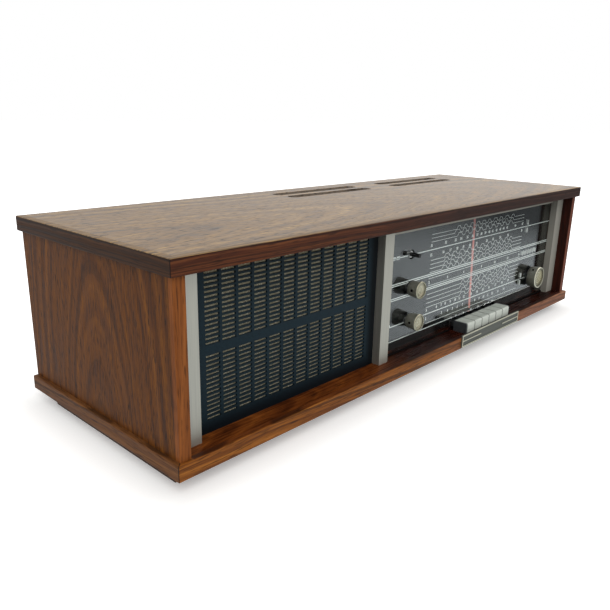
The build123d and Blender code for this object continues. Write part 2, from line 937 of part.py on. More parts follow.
def make_inlay(label, column, row, mouth, length):
    """The dished brass disc in a knob's face."""
    radius = mouth / 2 - knob_rim - inlay_play
    seat = knob_seat - length + knob_recess
    dish_radius = radius - inlay_flat
    ball = (dish_radius**2 + inlay_dish**2) / (2 * inlay_dish)
    with BuildPart() as inlay:
        rod(column, row, seat - inlay_thickness, seat, radius)
        with Locations(place(column, seat - inlay_thickness + inlay_dish - ball, row)):
            Sphere(ball, mode=Mode.SUBTRACT)
    inlay.part.label = label
    export_step(inlay.part, f"parts/{label}.step")


# The upper spindle has lost its knob, so its slotted end shows
make_spindle("upper_spindle", upper_control, face_setback - bare_spindle_reach)

small_bore = small_knob_length - knob_recess - knob_wall
for name, row in (("middle", middle_control), ("lower", lower_control)):
    make_spindle(f"{name}_spindle", row, knob_seat - small_bore + end_play)
    make_knob(
        f"{name}_knob",
        control_column,
        row,
        small_knob_back,
        small_knob_front,
        small_knob_length,
        spindle_diameter,
        0,
    )
    make_inlay(
        f"{name}_knob_inlay", control_column, row, small_knob_front, small_knob_length
    )

make_knob(
    "tuning_knob",
    tuning_column,
    tuning_height,
    tuning_knob_back,
    tuning_knob_front,
    tuning_knob_length,
    shaft_diameter,
    tuning_grub_angle,
)
make_inlay(
    "tuning_knob_inlay", tuning_column, tuning_height, tuning_knob_front, tuning_knob_length
)

# Bronze bushes: one in the backplate, one in the chassis wall
with BuildPart() as shaft_bushes:
    for wall_front in (backplate_setback, chassis_front):
        start = wall_front - bush_flange_thickness
        end = wall_front + sheet_steel
        bore = shaft_diameter / 2 + running_clearance
        sleeve = shaft_diameter / 2 + bush_wall
        rod(tuning_column, tuning_height, start, wall_front, bush_flange / 2)
        rod(tuning_column, tuning_height, start, end, sleeve)
        rod(tuning_column, tuning_height, start, end, bore, Mode.SUBTRACT)
shaft_bushes.part.label = "shaft_bushes"
export_step(shaft_bushes.part, "parts/shaft_bushes.step")

# Tuning shaft with the grooved collar that the cord goes round
groove_half = cord_diameter / 2 + cord_clearance
shaft_front = knob_seat - (tuning_knob_length - knob_recess - knob_wall) + end_play
shaft_end = chassis_front + sheet_steel + shaft_tail
with BuildPart() as tuning_shaft:
    rod(tuning_column, tuning_height, shaft_front, shaft_end, shaft_diameter / 2)
    rod(
        tuning_column,
        tuning_height,
        cord_setback - collar_length / 2,
        cord_setback + collar_length / 2,
        collar_radius + groove_flange,
    )
    with BuildSketch(facing(cord_setback - groove_half)):
        with Locations(on_face(tuning_column, tuning_height)):
            Circle(collar_radius + 2 * groove_flange)
            Circle(collar_radius - groove_half, mode=Mode.SUBTRACT)
    extrude(amount=-2 * groove_half, mode=Mode.SUBTRACT)
tuning_shaft.part.label = "tuning_shaft"
export_step(tuning_shaft.part, "parts/tuning_shaft.step")

# Cast flywheel on the tuning shaft
flywheel_back = flywheel_setback + flywheel_length
with BuildPart() as flywheel:
    hole = shaft_diameter / 2
    rim = flywheel_diameter / 2
    rod(tuning_column, tuning_height, flywheel_setback, flywheel_back, rim)
    chamfer(flywheel.edges().filter_by(GeomType.CIRCLE), flywheel_chamfer)
    rod(tuning_column, tuning_height, flywheel_setback, flywheel_back, hole, Mode.SUBTRACT)
flywheel.part.label = "flywheel"
export_step(flywheel.part, "parts/flywheel.step")

wheel_front = cord_setback - wheel_thickness / 2
wheel_back = cord_setback + wheel_thickness / 2


def grooved_wheel(column, row, radius):
    """A wheel whose groove holds the cord's middle at the given radius."""
    rim = radius + groove_flange
    groove_front = cord_setback - groove_half
    groove_back = cord_setback + groove_half
    rod(column, row, wheel_front, wheel_back, rim)
    rod(column, row, groove_front, groove_back, rim + groove_flange, Mode.SUBTRACT)
    rod(column, row, groove_front, groove_back, radius - groove_half)


def make_pulley(label, column):
    """A grooved cord pulley that turns on its pin."""
    with BuildPart() as pulley:
        bore = pulley_bore / 2 + running_clearance
        grooved_wheel(column, pulley_height, pulley_radius)
        rod(column, pulley_height, wheel_front, wheel_back, bore, Mode.SUBTRACT)
    pulley.part.label = label
    export_step(pulley.part, f"parts/{label}.step")


make_pulley("left_pulley", left_pulley_column)
make_pulley("right_pulley", right_pulley_column)

# Drive drum: a spoked wheel, its hub and the short shaft into the gang
gang_back = gang_front + gang_length
drum_shaft_end = gang_front + gang_wall
with BuildPart() as drive_drum:
    web = drum_radius - drum_rim
    grooved_wheel(drum_column, drum_height, drum_radius)
    dish_end = wheel_front + drum_dish
    rod(drum_column, drum_height, wheel_front, dish_end, web, Mode.SUBTRACT)
    dish_end = wheel_back - drum_dish
    rod(drum_column, drum_height, dish_end, wheel_back, web, Mode.SUBTRACT)
    for number in range(drum_windows):
        angle = math.radians(90 + 360 * number / drum_windows)
        rod(
            drum_column + drum_window_reach * math.cos(angle),
            drum_height + drum_window_reach * math.sin(angle),
            wheel_front,
            wheel_back,
            drum_window / 2,
            Mode.SUBTRACT,
        )
    hub_end = wheel_front + drum_hub_length
    rod(drum_column, drum_height, wheel_front, hub_end, drum_hub / 2)
    rod(drum_column, drum_height, wheel_front, drum_shaft_end, shaft_diameter / 2)
drive_drum.part.label = "drive_drum"
export_step(drive_drum.part, "parts/drive_drum.step")

# Drive cord: one loop round both pulleys, the tuning shaft and the drum, inside one plane
wheels = (
    (left_pulley_column, pulley_height, pulley_radius),
    (right_pulley_column, pulley_height, pulley_radius),
    (tuning_column, tuning_height, collar_radius),
    (drum_column, drum_height, drum_radius),
)


def tangent_points(first, second):
    """Where a cord on the outside leaves one wheel and meets the next, going clockwise."""
    run_x = second[0] - first[0]
    run_z = second[1] - first[1]
    reach = math.hypot(run_x, run_z)
    heading = math.atan2(run_z, run_x)
    normal = heading + math.acos((first[2] - second[2]) / reach)
    return [
        (wheel[0] + wheel[2] * math.cos(normal), wheel[1] + wheel[2] * math.sin(normal))
        for wheel in (first, second)
    ]


def bulge(wheel, meets, leaves):
    """The middle of the cord's arc on a wheel, going clockwise from one point to the other."""
    start = math.atan2(meets[1] - wheel[1], meets[0] - wheel[0])
    end = math.atan2(leaves[1] - wheel[1], leaves[0] - wheel[0])
    sweep_angle = (start - end) % (2 * math.pi)
    middle = start - sweep_angle / 2
    return (
        wheel[0] + wheel[2] * math.cos(middle),
        wheel[1] + wheel[2] * math.sin(middle),
    )


runs = [tangent_points(wheels[n], wheels[(n + 1) % 4]) for n in range(4)]
with BuildPart() as drive_cord:
    with BuildLine(facing(cord_setback)) as cord_route:
        for n in range(4):
            wheel = wheels[(n + 1) % 4]
            leaves, meets = runs[n]
            next_leaves = runs[(n + 1) % 4][0]
            Line(on_face(*leaves), on_face(*meets))
            ThreePointArc(
                on_face(*meets),
                on_face(*bulge(wheel, meets, next_leaves)),
                on_face(*next_leaves),
            )
    start = cord_route.edges()[0]
    with BuildSketch(Plane(start @ 0, z_dir=start % 0)):
        Circle(cord_diameter / 2)
    sweep()
drive_cord.part.label = "drive_cord"
export_step(drive_cord.part, "parts/drive_cord.step")
cord_length = sum(edge.length for edge in cord_route.edges())
print("cord radii", [wheel[2] for wheel in wheels])
print("cord length", round(cord_length, 1))
print("cord volume", round(drive_cord.part.volume, 1))
print("section times length", round(math.pi * cord_diameter**2 / 4 * cord_length, 1))

# Pointer: a thin red blade that hangs from its carrier, a little out of true
arm_low = backplate_height + arm_clearance
arm_high = arm_low + arm_thickness
carrier_left = pointer_column - carrier_length / 2
carrier_front = cord_setback - carrier_depth / 2
with BuildPart() as pointer:
    with BuildSketch(facing(pointer_setback)):
        with BuildLine():
            top = on_face(pointer_column, arm_high)
            foot = on_face(pointer_column + pointer_lean, pointer_foot)
            half = pointer_width / 2
            Polyline(
                (top[0] - half, top[1]),
                (top[0] + half, top[1]),
                (foot[0] + half, foot[1]),
                (foot[0] - half, foot[1]),
                close=True,
            )
        make_face()
    extrude(amount=-pointer_thickness)
    block(
        (pointer_column - arm_width / 2, pointer_setback, arm_low),
        (pointer_column + arm_width / 2, cord_setback, arm_high),
    )
    block(
        (carrier_left, carrier_front, carrier_foot),
        (carrier_left + carrier_length, carrier_front + carrier_depth, carrier_top),
    )
    for row, radius in (
        (rail_height, rail_diameter / 2 + running_clearance),
        (pulley_height + pulley_radius, cord_diameter / 2 + cord_clearance),
    ):
        with Locations(place(carrier_left, cord_setback, row)):
            Cylinder(
                radius,
                carrier_length,
                rotation=(0, 90, 0),
                align=(Align.CENTER, Align.CENTER, Align.MIN),
                mode=Mode.SUBTRACT,
            )
pointer.part.label = "pointer"
export_step(pointer.part, "parts/pointer.step")

# Frame of the tuning gang: end plates, a base and the fixed plates
gang_left = drum_column - gang_width / 2
gang_right = drum_column + gang_width / 2
gang_top = chassis_height + gang_height
first_plate = gang_front + gang_wall + gang_margin
plate_pitch = (gang_length - 2 * gang_wall - 2 * gang_margin) / rotor_plates
with BuildPart() as gang_frame:
    block(
        (gang_left, gang_front, chassis_height),
        (gang_right, gang_back, chassis_height + gang_wall),
    )
    for start in (gang_front, gang_back - gang_wall):
        block(
            (gang_left, start, chassis_height),
            (gang_right, start + gang_wall, gang_top),
        )
    for number in range(1, rotor_plates):
        start = first_plate + number * plate_pitch - rotor_plate / 2
        block(
            (gang_left, start, chassis_height),
            (
                drum_column - stator_gap,
                start + rotor_plate,
                chassis_height + stator_height,
            ),
        )
    bore = shaft_diameter / 2 + running_clearance
    rod(drum_column, drum_height, gang_front, gang_back, bore, Mode.SUBTRACT)
gang_frame.part.label = "gang_frame"
export_step(gang_frame.part, "parts/gang_frame.step")

# Gang rotor: half round plates on their own shaft, open when the pointer is at the left
rotor_start = drum_shaft_end + end_play
rotor_end = gang_back + rotor_tail
rotor_rest = -rotor_turn * (pointer_column - scale_left) / (scale_right - scale_left)
with BuildPart() as gang_rotor:
    for number in range(rotor_plates):
        start = first_plate + (number + 0.5) * plate_pitch - rotor_plate / 2
        angle = math.radians(rotor_rest)
        cut_column = drum_column - rotor_radius * math.cos(angle)
        cut_height = drum_height - rotor_radius * math.sin(angle)
        with BuildSketch(facing(start)):
            with Locations(on_face(drum_column, drum_height)):
                Circle(rotor_radius)
            with Locations(on_face(cut_column, cut_height)):
                side = 2 * rotor_radius
                Rectangle(side, side, rotation=rotor_rest, mode=Mode.SUBTRACT)
        extrude(amount=-rotor_plate)
    rod(drum_column, drum_height, rotor_start, rotor_end, shaft_diameter / 2)
gang_rotor.part.label = "gang_rotor"
export_step(gang_rotor.part, "parts/gang_rotor.step")


def make_key(number):
    """One piano key: its cap in front of the glass and its lever on the pivot rod."""
    start = keys_left + number * key_pitch
    end = start + key_pitch - key_gap
    middle = (start + end) / 2
    label = f"key_{number + 1}"
    with BuildPart() as key:
        block((start, key_front, key_bottom), (end, keys_back, key_top))
        lip = key.edges().filter_by(Axis.X).group_by(Axis.Y)[0].sort_by(Axis.Z)[-1]
        fillet(lip, key_edge)
        fillet(key.faces().sort_by(Axis.Z)[-1].edges().filter_by(Axis.Y), key_side_edge)
        block(
            (middle - lever_width / 2, keys_back - lever_end, lever_bottom),
            (middle + lever_width / 2, pivot_setback + lever_end, lever_top),
        )
        with Locations(place(middle, pivot_setback, pivot_height)):
            Cylinder(
                pivot_diameter / 2 + running_clearance,
                key_pitch,
                rotation=(0, 90, 0),
                mode=Mode.SUBTRACT,
            )
    key.part.label = label
    export_step(key.part, f"parts/{label}.step")


for number in range(key_count):
    make_key(number)

# Dark cheeks on both sides of the keys
with BuildPart() as key_cheeks:
    for start in (keys_left - key_play - cheek_thickness, keys_right + key_play):
        block(
            (start, key_front + cheek_setback, 0),
            (start + cheek_thickness, keys_back, key_top - cheek_drop),
        )
    lips = key_cheeks.edges().filter_by(Axis.X).group_by(Axis.Y)[0]
    fillet(lips.group_by(Axis.Z)[-1], key_edge)
key_cheeks.part.label = "key_cheeks"
export_step(key_cheeks.part, "parts/key_cheeks.step")

# Key frame: a pressed channel and the pivot rod through its ears
frame_left = keys_left - key_frame_margin
frame_right = keys_right + key_frame_margin
with BuildPart() as key_frame:
    block((frame_left, key_frame_front, 0), (frame_right, key_frame_back, sheet_steel))
    for start in (frame_left, frame_right - key_frame_ear):
        block(
            (start, pivot_setback - key_frame_ear_reach, 0),
            (
                start + key_frame_ear,
                pivot_setback + key_frame_ear_reach,
                key_frame_ear_height,
            ),
        )
    with Locations(place(frame_left - pivot_overhang, pivot_setback, pivot_height)):
        Cylinder(
            pivot_diameter / 2,
            frame_right - frame_left + 2 * pivot_overhang,
            rotation=(0, 90, 0),
            align=(Align.CENTER, Align.CENTER, Align.MIN),
        )
key_frame.part.label = "key_frame"
export_step(key_frame.part, "parts/key_frame.step")

# Chassis: a folded steel tray, open below
with BuildPart() as chassis:
    block((chassis_left, chassis_front, 0), (chassis_right, chassis_back, chassis_height))
    block(
        (chassis_left + sheet_steel, chassis_front + sheet_steel, 0),
        (
            chassis_right - sheet_steel,
            chassis_back - sheet_steel,
            chassis_height - sheet_steel,
        ),
        Mode.SUBTRACT,
    )
    bush_hole = shaft_diameter / 2 + bush_wall
    wall_back = chassis_front + sheet_steel
    rod(
        tuning_column,
        tuning_height,
        chassis_front,
        wall_back,
        bush_hole,
        Mode.SUBTRACT,
    )
chassis.part.label = "chassis"
export_step(chassis.part, "parts/chassis.step")

# Valves: a glass envelope with a drawn tip on each moulded socket
foot = shelf + chassis_height
with BuildPart() as valves:
    for column in valve_columns:
        centre = (left + column, front + valve_setback)
        base = foot + valve_socket_height
        crown = base + valve_height
        radius = valve_diameter / 2
        with BuildSketch(Plane.XY.offset(foot)):
            with Locations(centre):
                Circle(valve_socket / 2)
        extrude(amount=valve_socket_height)
        with BuildSketch(Plane.XZ.offset(-centre[1])):
            with BuildLine():
                Line((centre[0], base), (centre[0] + radius, base))
                Line((centre[0] + radius, base), (centre[0] + radius, crown - valve_shoulder))
                TangentArc(
                    (centre[0] + radius, crown - valve_shoulder),
                    (centre[0] + valve_tip_radius, crown),
                    tangent=(0, 1),
                )
                Line(
                    (centre[0] + valve_tip_radius, crown),
                    (centre[0], crown + valve_tip),
                )
                Line((centre[0], crown + valve_tip), (centre[0], base))
            make_face()
        revolve(axis=Axis((centre[0], centre[1], 0), (0, 0, 1)))
valves.part.label = "valves"
export_step(valves.part, "parts/valves.step")

# Three screened coil cans
with BuildPart() as if_cans:
    with BuildSketch(Plane.XY.offset(foot)):
        for column in can_columns:
            with Locations((left + column, front + can_setback)):
                RectangleRounded(can_side, can_side, can_corner)
    extrude(amount=can_height)
if_cans.part.label = "if_cans"
export_step(if_cans.part, "parts/if_cans.step")

# Mains and output transformers: a laminated core round a winding
with BuildPart() as transformers:
    for core, column, setback in (
        (mains_core, mains_column, mains_setback),
        (output_core, output_column, output_setback),
    ):
        across, through, high = core
        low_x = column - across / 2
        low_y = setback - through / 2
        core_front = low_y + winding_margin
        core_back = low_y + through - winding_margin
        top = chassis_height + high
        block((low_x, core_front, chassis_height), (low_x + across, core_back, top))
        block(
            (low_x + winding_margin, low_y, chassis_height + winding_margin),
            (low_x + across - winding_margin, low_y + through, top - winding_margin),
        )
transformers.part.label = "transformers"
export_step(transformers.part, "parts/transformers.step")

# Two dial lamps in their holders behind the backplate's top corners
bracket_width, bracket_thickness, bracket_height = lamp_bracket
with BuildPart() as dial_lamps:
    for column in lamp_columns:
        neck_start = backplate_back + bracket_thickness
        neck_end = neck_start + lamp_neck_length
        lamp_end = backplate_back + lamp_length
        bracket_foot = lamp_height - bracket_height + lamp_diameter / 2
        rod(column, lamp_height, neck_start, neck_end, lamp_neck / 2)
        rod(column, lamp_height, neck_end, lamp_end, lamp_diameter / 2)
        block(
            (column - bracket_width / 2, backplate_back, bracket_foot),
            (
                column + bracket_width / 2,
                backplate_back + bracket_thickness,
                bracket_foot + bracket_height,
            ),
        )
dial_lamps.part.label = "dial_lamps"
export_step(dial_lamps.part, "parts/dial_lamps.step")

# Aerial and loudspeaker sockets in a strip on the back of the chassis
with BuildPart() as socket_strip:
    with BuildSketch(facing(chassis_back)):
        with Locations(on_face(strip_column, strip_level)):
            Rectangle(strip_width, strip_height)
            with GridLocations(strip_hole_pitch, 1, strip_sockets, 1):
                Circle(strip_hole / 2, mode=Mode.SUBTRACT)
    extrude(amount=-strip_thickness)
socket_strip.part.label = "socket_strip"
export_step(socket_strip.part, "parts/socket_strip.step")

# Mains inlet: a moulded shroud round two pins, level with the rear cover
inlet_left = inlet_column - inlet_width / 2
inlet_foot = inlet_level - inlet_height / 2
inlet_floor = cover_back - inlet_depth
with BuildPart() as mains_inlet:
    block(
        (inlet_left, chassis_back, inlet_foot),
        (inlet_left + inlet_width, cover_back, inlet_foot + inlet_height),
    )
    block(
        (inlet_left + inlet_wall, inlet_floor, inlet_foot + inlet_wall),
        (
            inlet_left + inlet_width - inlet_wall,
            cover_back,
            inlet_foot + inlet_height - inlet_wall,
        ),
        Mode.SUBTRACT,
    )
    for side in (-1, 1):
        pin = inlet_column + side * inlet_pin_pitch / 2
        pin_end = inlet_floor + inlet_pin_length
        rod(pin, inlet_level, inlet_floor, pin_end, inlet_pin / 2)
mains_inlet.part.label = "mains_inlet"
export_step(mains_inlet.part, "parts/mains_inlet.step")
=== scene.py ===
import math
import random

import bmesh
import bpy
from mathutils import Matrix, Vector


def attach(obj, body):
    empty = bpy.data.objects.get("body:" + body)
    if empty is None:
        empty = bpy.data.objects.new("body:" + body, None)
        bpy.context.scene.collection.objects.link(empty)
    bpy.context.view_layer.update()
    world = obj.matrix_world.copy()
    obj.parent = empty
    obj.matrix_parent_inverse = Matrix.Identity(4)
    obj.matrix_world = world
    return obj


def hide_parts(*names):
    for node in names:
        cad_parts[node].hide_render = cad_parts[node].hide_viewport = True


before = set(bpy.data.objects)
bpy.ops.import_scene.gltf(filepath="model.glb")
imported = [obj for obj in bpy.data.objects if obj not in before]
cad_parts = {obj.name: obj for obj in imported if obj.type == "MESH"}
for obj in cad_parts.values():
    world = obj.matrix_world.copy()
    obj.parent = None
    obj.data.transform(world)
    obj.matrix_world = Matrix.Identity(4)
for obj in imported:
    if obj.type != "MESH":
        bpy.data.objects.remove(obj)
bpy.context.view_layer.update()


# Top and bottom boards: 12 mm board faced with rosewood veneer, its grain running from end
# to end, filled and lacquered to a satin gloss. The top one carries the vent slots.
def linear(code):
    """A colour written as #rrggbb, as the linear numbers a shader takes."""
    parts = [int(code[n : n + 2], 16) / 255 for n in (1, 3, 5)]
    parts = [p / 12.92 if p <= 0.04045 else ((p + 0.055) / 1.055) ** 2.4 for p in parts]
    return parts + [1.0]


def fill(tree, node, inputs):
    """Gives the inputs of a node their values, or links from other nodes and sockets."""
    for spot, value in inputs.items():
        if isinstance(spot, str):
            into = next(s for s in node.inputs if s.name == spot and s.enabled)
        else:
            into = node.inputs[spot]
        if isinstance(value, bpy.types.Node):
            value = next(s for s in value.outputs if s.enabled)
        if isinstance(value, bpy.types.NodeSocket):
            tree.links.new(value, into)
        else:
            into.default_value = value


def add(tree, kind, inputs=None, stops=None, **settings):
    """Adds a node with its settings, its colour stops, and each input's value or link."""
    made = tree.nodes.new(kind)
    for name, value in settings.items():
        setattr(made, name, value)
    if stops:
        marks = made.color_ramp.elements
        while len(marks) < len(stops):
            marks.new(1)
        for mark, (spot, code) in zip(marks, stops):
            mark.position = spot
            mark.color = linear(code)
    fill(tree, made, inputs or {})
    return made


def surface(name, **values):
    """A new material, its node tree and its shader, with plain values on the shader."""
    material = bpy.data.materials.new(name)
    material.use_nodes = True
    shader = material.node_tree.nodes["Principled BSDF"]
    for key, value in values.items():
        socket = key.replace("_", " ").title().replace("Ior", "IOR")
        shader.inputs[socket].default_value = value
    return material, material.node_tree, shader


def clothe(material, *names):
    """Gives CAD nodes their material."""
    for name in names:
        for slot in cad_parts[name].material_slots:
            slot.material = material


# The frame's origin is on the table below the middle of the cabinet.
half_width, to_front, shelf_level = 315.0, 103.7, 24.0
top_face, veneer = 137.6, 0.3


def measured(tree):
    """Millimetres from the left end, back from the boards' front edge, up from the shelf."""
    spot = add(tree, "ShaderNodeTexCoord").outputs["Object"]
    millimetres = (1000, 1000, 1000)
    corner = (half_width, to_front, -shelf_level)
    return add(
        tree,
        "ShaderNodeVectorMath",
        {0: spot, 1: millimetres, 2: corner},
        operation="MULTIPLY_ADD",
    )


def distances(tree):
    """The same three distances, each by itself."""
    return add(tree, "ShaderNodeSeparateXYZ", {0: measured(tree)}).outputs


def turned(tree, axes):
    """The same millimetres, reordered as along, across and through the grain."""
    parts = distances(tree)
    order = {n: parts["XYZ".index(axis)] for n, axis in enumerate(axes)}
    return add(tree, "ShaderNodeCombineXYZ", order)


def streaks(tree, place, length, width, detail):
    """A pattern drawn out along the first axis, its streaks' size in millimetres."""
    drawn = (1 / length, 1 / width, 1 / width)
    place = add(tree, "ShaderNodeVectorMath", {0: place, 1: drawn}, operation="MULTIPLY")
    return add(tree, "ShaderNodeTexNoise", {"Vector": place, "Scale": 1.0, "Detail": detail})


# Nearly all values of a noise pattern lie in this span.
noise_span = {1: 0.3, 2: 0.7}


def timber(
    tree,
    shader,
    grain,
    stops,
    heart,
    ring=6.0,
    slope=0.1,
    gloss=(0.38, 0.5),
    pores=(14, 0.9, 0.6),
    fibre=(85, 1.7),
    lines=0.42,
    waver=20,
    veins=(3.0, 0.0),
    others=(),
):
    """Sawn wood: growth rings cut at a slant, fibres, veins and open pores.

    The heart is where the rings' middle lies across and through the board, and ring their
    width. The pores are a length, a width and a depth of tone, the fibres a length and a
    width, the veins a pitch and a depth of tone. Others are masks, each with its own tones.
    """
    drift_length, drift_width = 170, 46
    drift = streaks(tree, grain, drift_length, drift_width, 2.0)
    sway = {1: (0, waver, waver), 2: (0, -waver / 2, -waver / 2)}
    shift = add(
        tree,
        "ShaderNodeVectorMath",
        {0: drift.outputs["Color"], **sway},
        operation="MULTIPLY_ADD",
    )
    bent = add(tree, "ShaderNodeVectorMath", {0: grain, 1: shift}, operation="ADD")
    parts = add(tree, "ShaderNodeSeparateXYZ", {0: bent})
    across = add(tree, "ShaderNodeMath", {0: parts.outputs[1], 1: heart[0]}, operation="SUBTRACT")
    deep = add(
        tree,
        "ShaderNodeMath",
        {0: parts.outputs[0], 1: slope, 2: heart[1]},
        operation="MULTIPLY_ADD",
    )
    reach = add(tree, "ShaderNodeCombineXYZ", {0: across, 1: deep})
    radius = add(tree, "ShaderNodeVectorMath", {0: reach}, operation="LENGTH")
    rings = add(
        tree,
        "ShaderNodeTexNoise",
        {"W": radius.outputs["Value"], "Scale": 1 / ring, "Detail": 3.0, "Roughness": 0.6},
        noise_dimensions="1D",
    )
    fibres = streaks(tree, bent, *fibre, 3.0)
    both = add(
        tree,
        "ShaderNodeMix",
        {"Factor": lines, "A": rings, "B": fibres},
        data_type="FLOAT",
    )
    tone = add(tree, "ShaderNodeValToRGB", {0: both}, stops=stops)
    for mask, tones in others:
        other = add(tree, "ShaderNodeValToRGB", {0: both}, stops=tones)
        blend = {"Factor": mask, "A": tone, "B": other}
        tone = add(tree, "ShaderNodeMix", blend, data_type="RGBA")
    if veins[1]:
        vein = add(
            tree,
            "ShaderNodeTexNoise",
            {"W": radius.outputs["Value"], "Scale": 1 / veins[0], "Detail": 2.0},
            noise_dimensions="1D",
        )
        vein_span = {1: 0.56, 2: 0.66, 3: 0.0, 4: veins[1]}
        vein = add(tree, "ShaderNodeMapRange", {0: vein, **vein_span})
        blend = {"Factor": vein, "A": tone, "B": linear("#140904")}
        tone = add(tree, "ShaderNodeMix", blend, data_type="RGBA")
    pitted = streaks(tree, bent, *pores[:2], 1.0)
    pore_span = {1: 0.55, 2: 0.68, 3: 0.0, 4: pores[2]}
    open_pores = add(tree, "ShaderNodeMapRange", {0: pitted, **pore_span})
    blend = {"Factor": open_pores, "A": tone, "B": linear("#160b06")}
    tone = add(tree, "ShaderNodeMix", blend, data_type="RGBA")
    sheen = add(tree, "ShaderNodeMapRange", {0: fibres, **noise_span, 3: gloss[0], 4: gloss[1]})
    pore_depth = 0.06 / 1000
    relief = add(
        tree,
        "ShaderNodeBump",
        {"Strength": 0.5, "Distance": pore_depth, "Height": open_pores},
        invert=True,
    )
    fill(tree, shader, {"Base Color": tone, "Roughness": sheen, "Normal": relief})
    return open_pores


# Years of light have bleached the veneer to a greyish gold, with dark open pores.
boards, tree, shader = surface("Rosewood veneer, lacquered", ior=1.5, coat_roughness=0.3)
board_tones = [(0.3, "#2c1b0b"), (0.42, "#674c28"), (0.57, "#93703e"), (0.75, "#c7a363")]
spot = distances(tree)
# The walls of the slots and the back edge show the bare board below its veneer.
in_slot = add(tree, "ShaderNodeMath", {0: spot[2], 1: top_face - veneer}, operation="LESS_THAN")
slot_tones = [(0.3, "#75675a"), (0.7, "#8a7b6c")]
# The lacquer is darker along the rims of the four slots.
slots_middle, slots_apart, slot_half = (412.5, 168.5), (88.5, 11.5), (66.0, 7.0)
rim_band, rim_darkness = 1.5, 0.8
rim_dark = []
for n in (0, 1):
    off = add(tree, "ShaderNodeMath", {0: spot[n], 1: slots_middle[n]}, operation="SUBTRACT")
    off = add(tree, "ShaderNodeMath", {0: off}, operation="ABSOLUTE")
    off = add(tree, "ShaderNodeMath", {0: off, 1: slots_apart[n]}, operation="SUBTRACT")
    off = add(tree, "ShaderNodeMath", {0: off}, operation="ABSOLUTE")
    reach = {0: off, 1: slot_half[n], 2: slot_half[n] + rim_band, 3: rim_darkness, 4: 0.0}
    rim_dark.append(add(tree, "ShaderNodeMapRange", reach))
rim_dark = add(tree, "ShaderNodeMath", {0: rim_dark[0], 1: rim_dark[1]}, operation="MULTIPLY")
rim_tones = [(0.3, "#20160c"), (0.5, "#3f2f1e"), (0.75, "#5f4a32")]
board_pores = (9, 1.2, 0.85)
open_pores = timber(
    tree,
    shader,
    turned(tree, "XYZ"),
    board_tones,
    heart=(70, 40),
    ring=9,
    slope=0.12,
    gloss=(0.34, 0.46),
    pores=board_pores,
    fibre=(18, 1.5),
    lines=0.6,
    others=[(rim_dark, rim_tones), (in_slot, slot_tones)],
)
# The pores gleam less than the filled wood between them.
filled_gleam, pore_gleam = 0.5, 0.2
gleams = {2: board_pores[2], 3: filled_gleam, 4: pore_gleam}
gleam = add(tree, "ShaderNodeMapRange", {0: open_pores, **gleams})
# The lacquer is worn thin at the left end and whole at the right one.
bare_to, whole_from, full_coat = 60, 560, 0.4
worn = {1: bare_to, 2: whole_from, 3: 0.0, 4: full_coat}
lacquer = add(tree, "ShaderNodeMapRange", {0: spot[0], **worn})
fill(tree, shader, {"Specular IOR Level": gleam, "Coat Weight": lacquer})
clothe(boards, "top_board")

# The shelf in front of the grille is a dull reddish brown, and nearly black before the dial.
shelf, tree, shader = surface("Rosewood veneer, stained", ior=1.5, specular_ior_level=0.02)
shelf_tones = [(0.3, "#291107"), (0.45, "#552910"), (0.6, "#784018"), (0.78, "#9c5e2a")]
deep_tones = [(0.3, "#0d0403"), (0.5, "#240d08"), (0.7, "#3a180e")]
turns_deep = {1: 215.0, 2: 275.0}
right_half = add(tree, "ShaderNodeMapRange", {0: distances(tree)[0], **turns_deep})
timber(
    tree,
    shader,
    turned(tree, "XYZ"),
    shelf_tones,
    heart=(20, 30),
    ring=5,
    gloss=(0.22, 0.34),
    others=[(right_half, deep_tones)],
)
clothe(shelf, "bottom_board")


# Lippings of the two boards: solid rosewood strips glued along the front and the ends and
# mitred at the corners, dark on the top board and warmer on the bottom one. The boards'
# veneer runs out over them, and the bottom one's front edge keeps a paler line, a painted
# highlight.
def off_middle(tree):
    """Millimetres to the left or the right of the cabinet's middle."""
    aside = {0: distances(tree)[0], 1: half_width}
    aside = add(tree, "ShaderNodeMath", aside, operation="SUBTRACT")
    return add(tree, "ShaderNodeMath", {0: aside}, operation="ABSOLUTE")


# Oil makes solid rosewood look deep and streaky, with no shine to speak of.
edges, tree, shader = surface("Rosewood lipping, oiled", ior=1.5, coat_roughness=0.3)
along, back, up = distances(tree)
out = off_middle(tree)
inward = add(tree, "ShaderNodeMath", {0: half_width, 1: out}, operation="SUBTRACT")
past_mitre = add(tree, "ShaderNodeMath", {0: inward, 1: back}, operation="SUBTRACT")
on_end = add(tree, "ShaderNodeMath", {0: past_mitre, 1: 0.0}, operation="LESS_THAN")
off_mitre = add(tree, "ShaderNodeMath", {0: past_mitre}, operation="ABSOLUTE")
glue_line, rounded_edge, half_height = 0.4, 0.4, 60.0
mitre = add(tree, "ShaderNodeMath", {0: off_mitre, 1: glue_line}, operation="LESS_THAN")
top_edge = top_face - rounded_edge
on_top = add(tree, "ShaderNodeMath", {0: up, 1: top_edge}, operation="GREATER_THAN")
low = add(tree, "ShaderNodeMath", {0: up, 1: half_height}, operation="LESS_THAN")
edge_grain = add(
    tree,
    "ShaderNodeMix",
    {"Factor": on_end, "A": turned(tree, "XZY"), "B": turned(tree, "YZX")},
    data_type="VECTOR",
)
edge_grain = add(
    tree,
    "ShaderNodeMix",
    {"Factor": on_top, "A": edge_grain, "B": turned(tree, "XYZ")},
    data_type="VECTOR",
)
high_tones = [(0.3, "#25110a"), (0.45, "#472313"), (0.6, "#62371e"), (0.78, "#7f4c2a")]
low_tones = [(0.3, "#2f1807"), (0.44, "#6f3e16"), (0.6, "#935922"), (0.78, "#b87b36")]
red_tones = [(0.3, "#4a2a18"), (0.44, "#7b4c32"), (0.6, "#8e5d40"), (0.78, "#a2714e")]
end_tones = [(0.3, "#1a0d07"), (0.45, "#362010"), (0.6, "#472b17"), (0.78, "#593a21")]
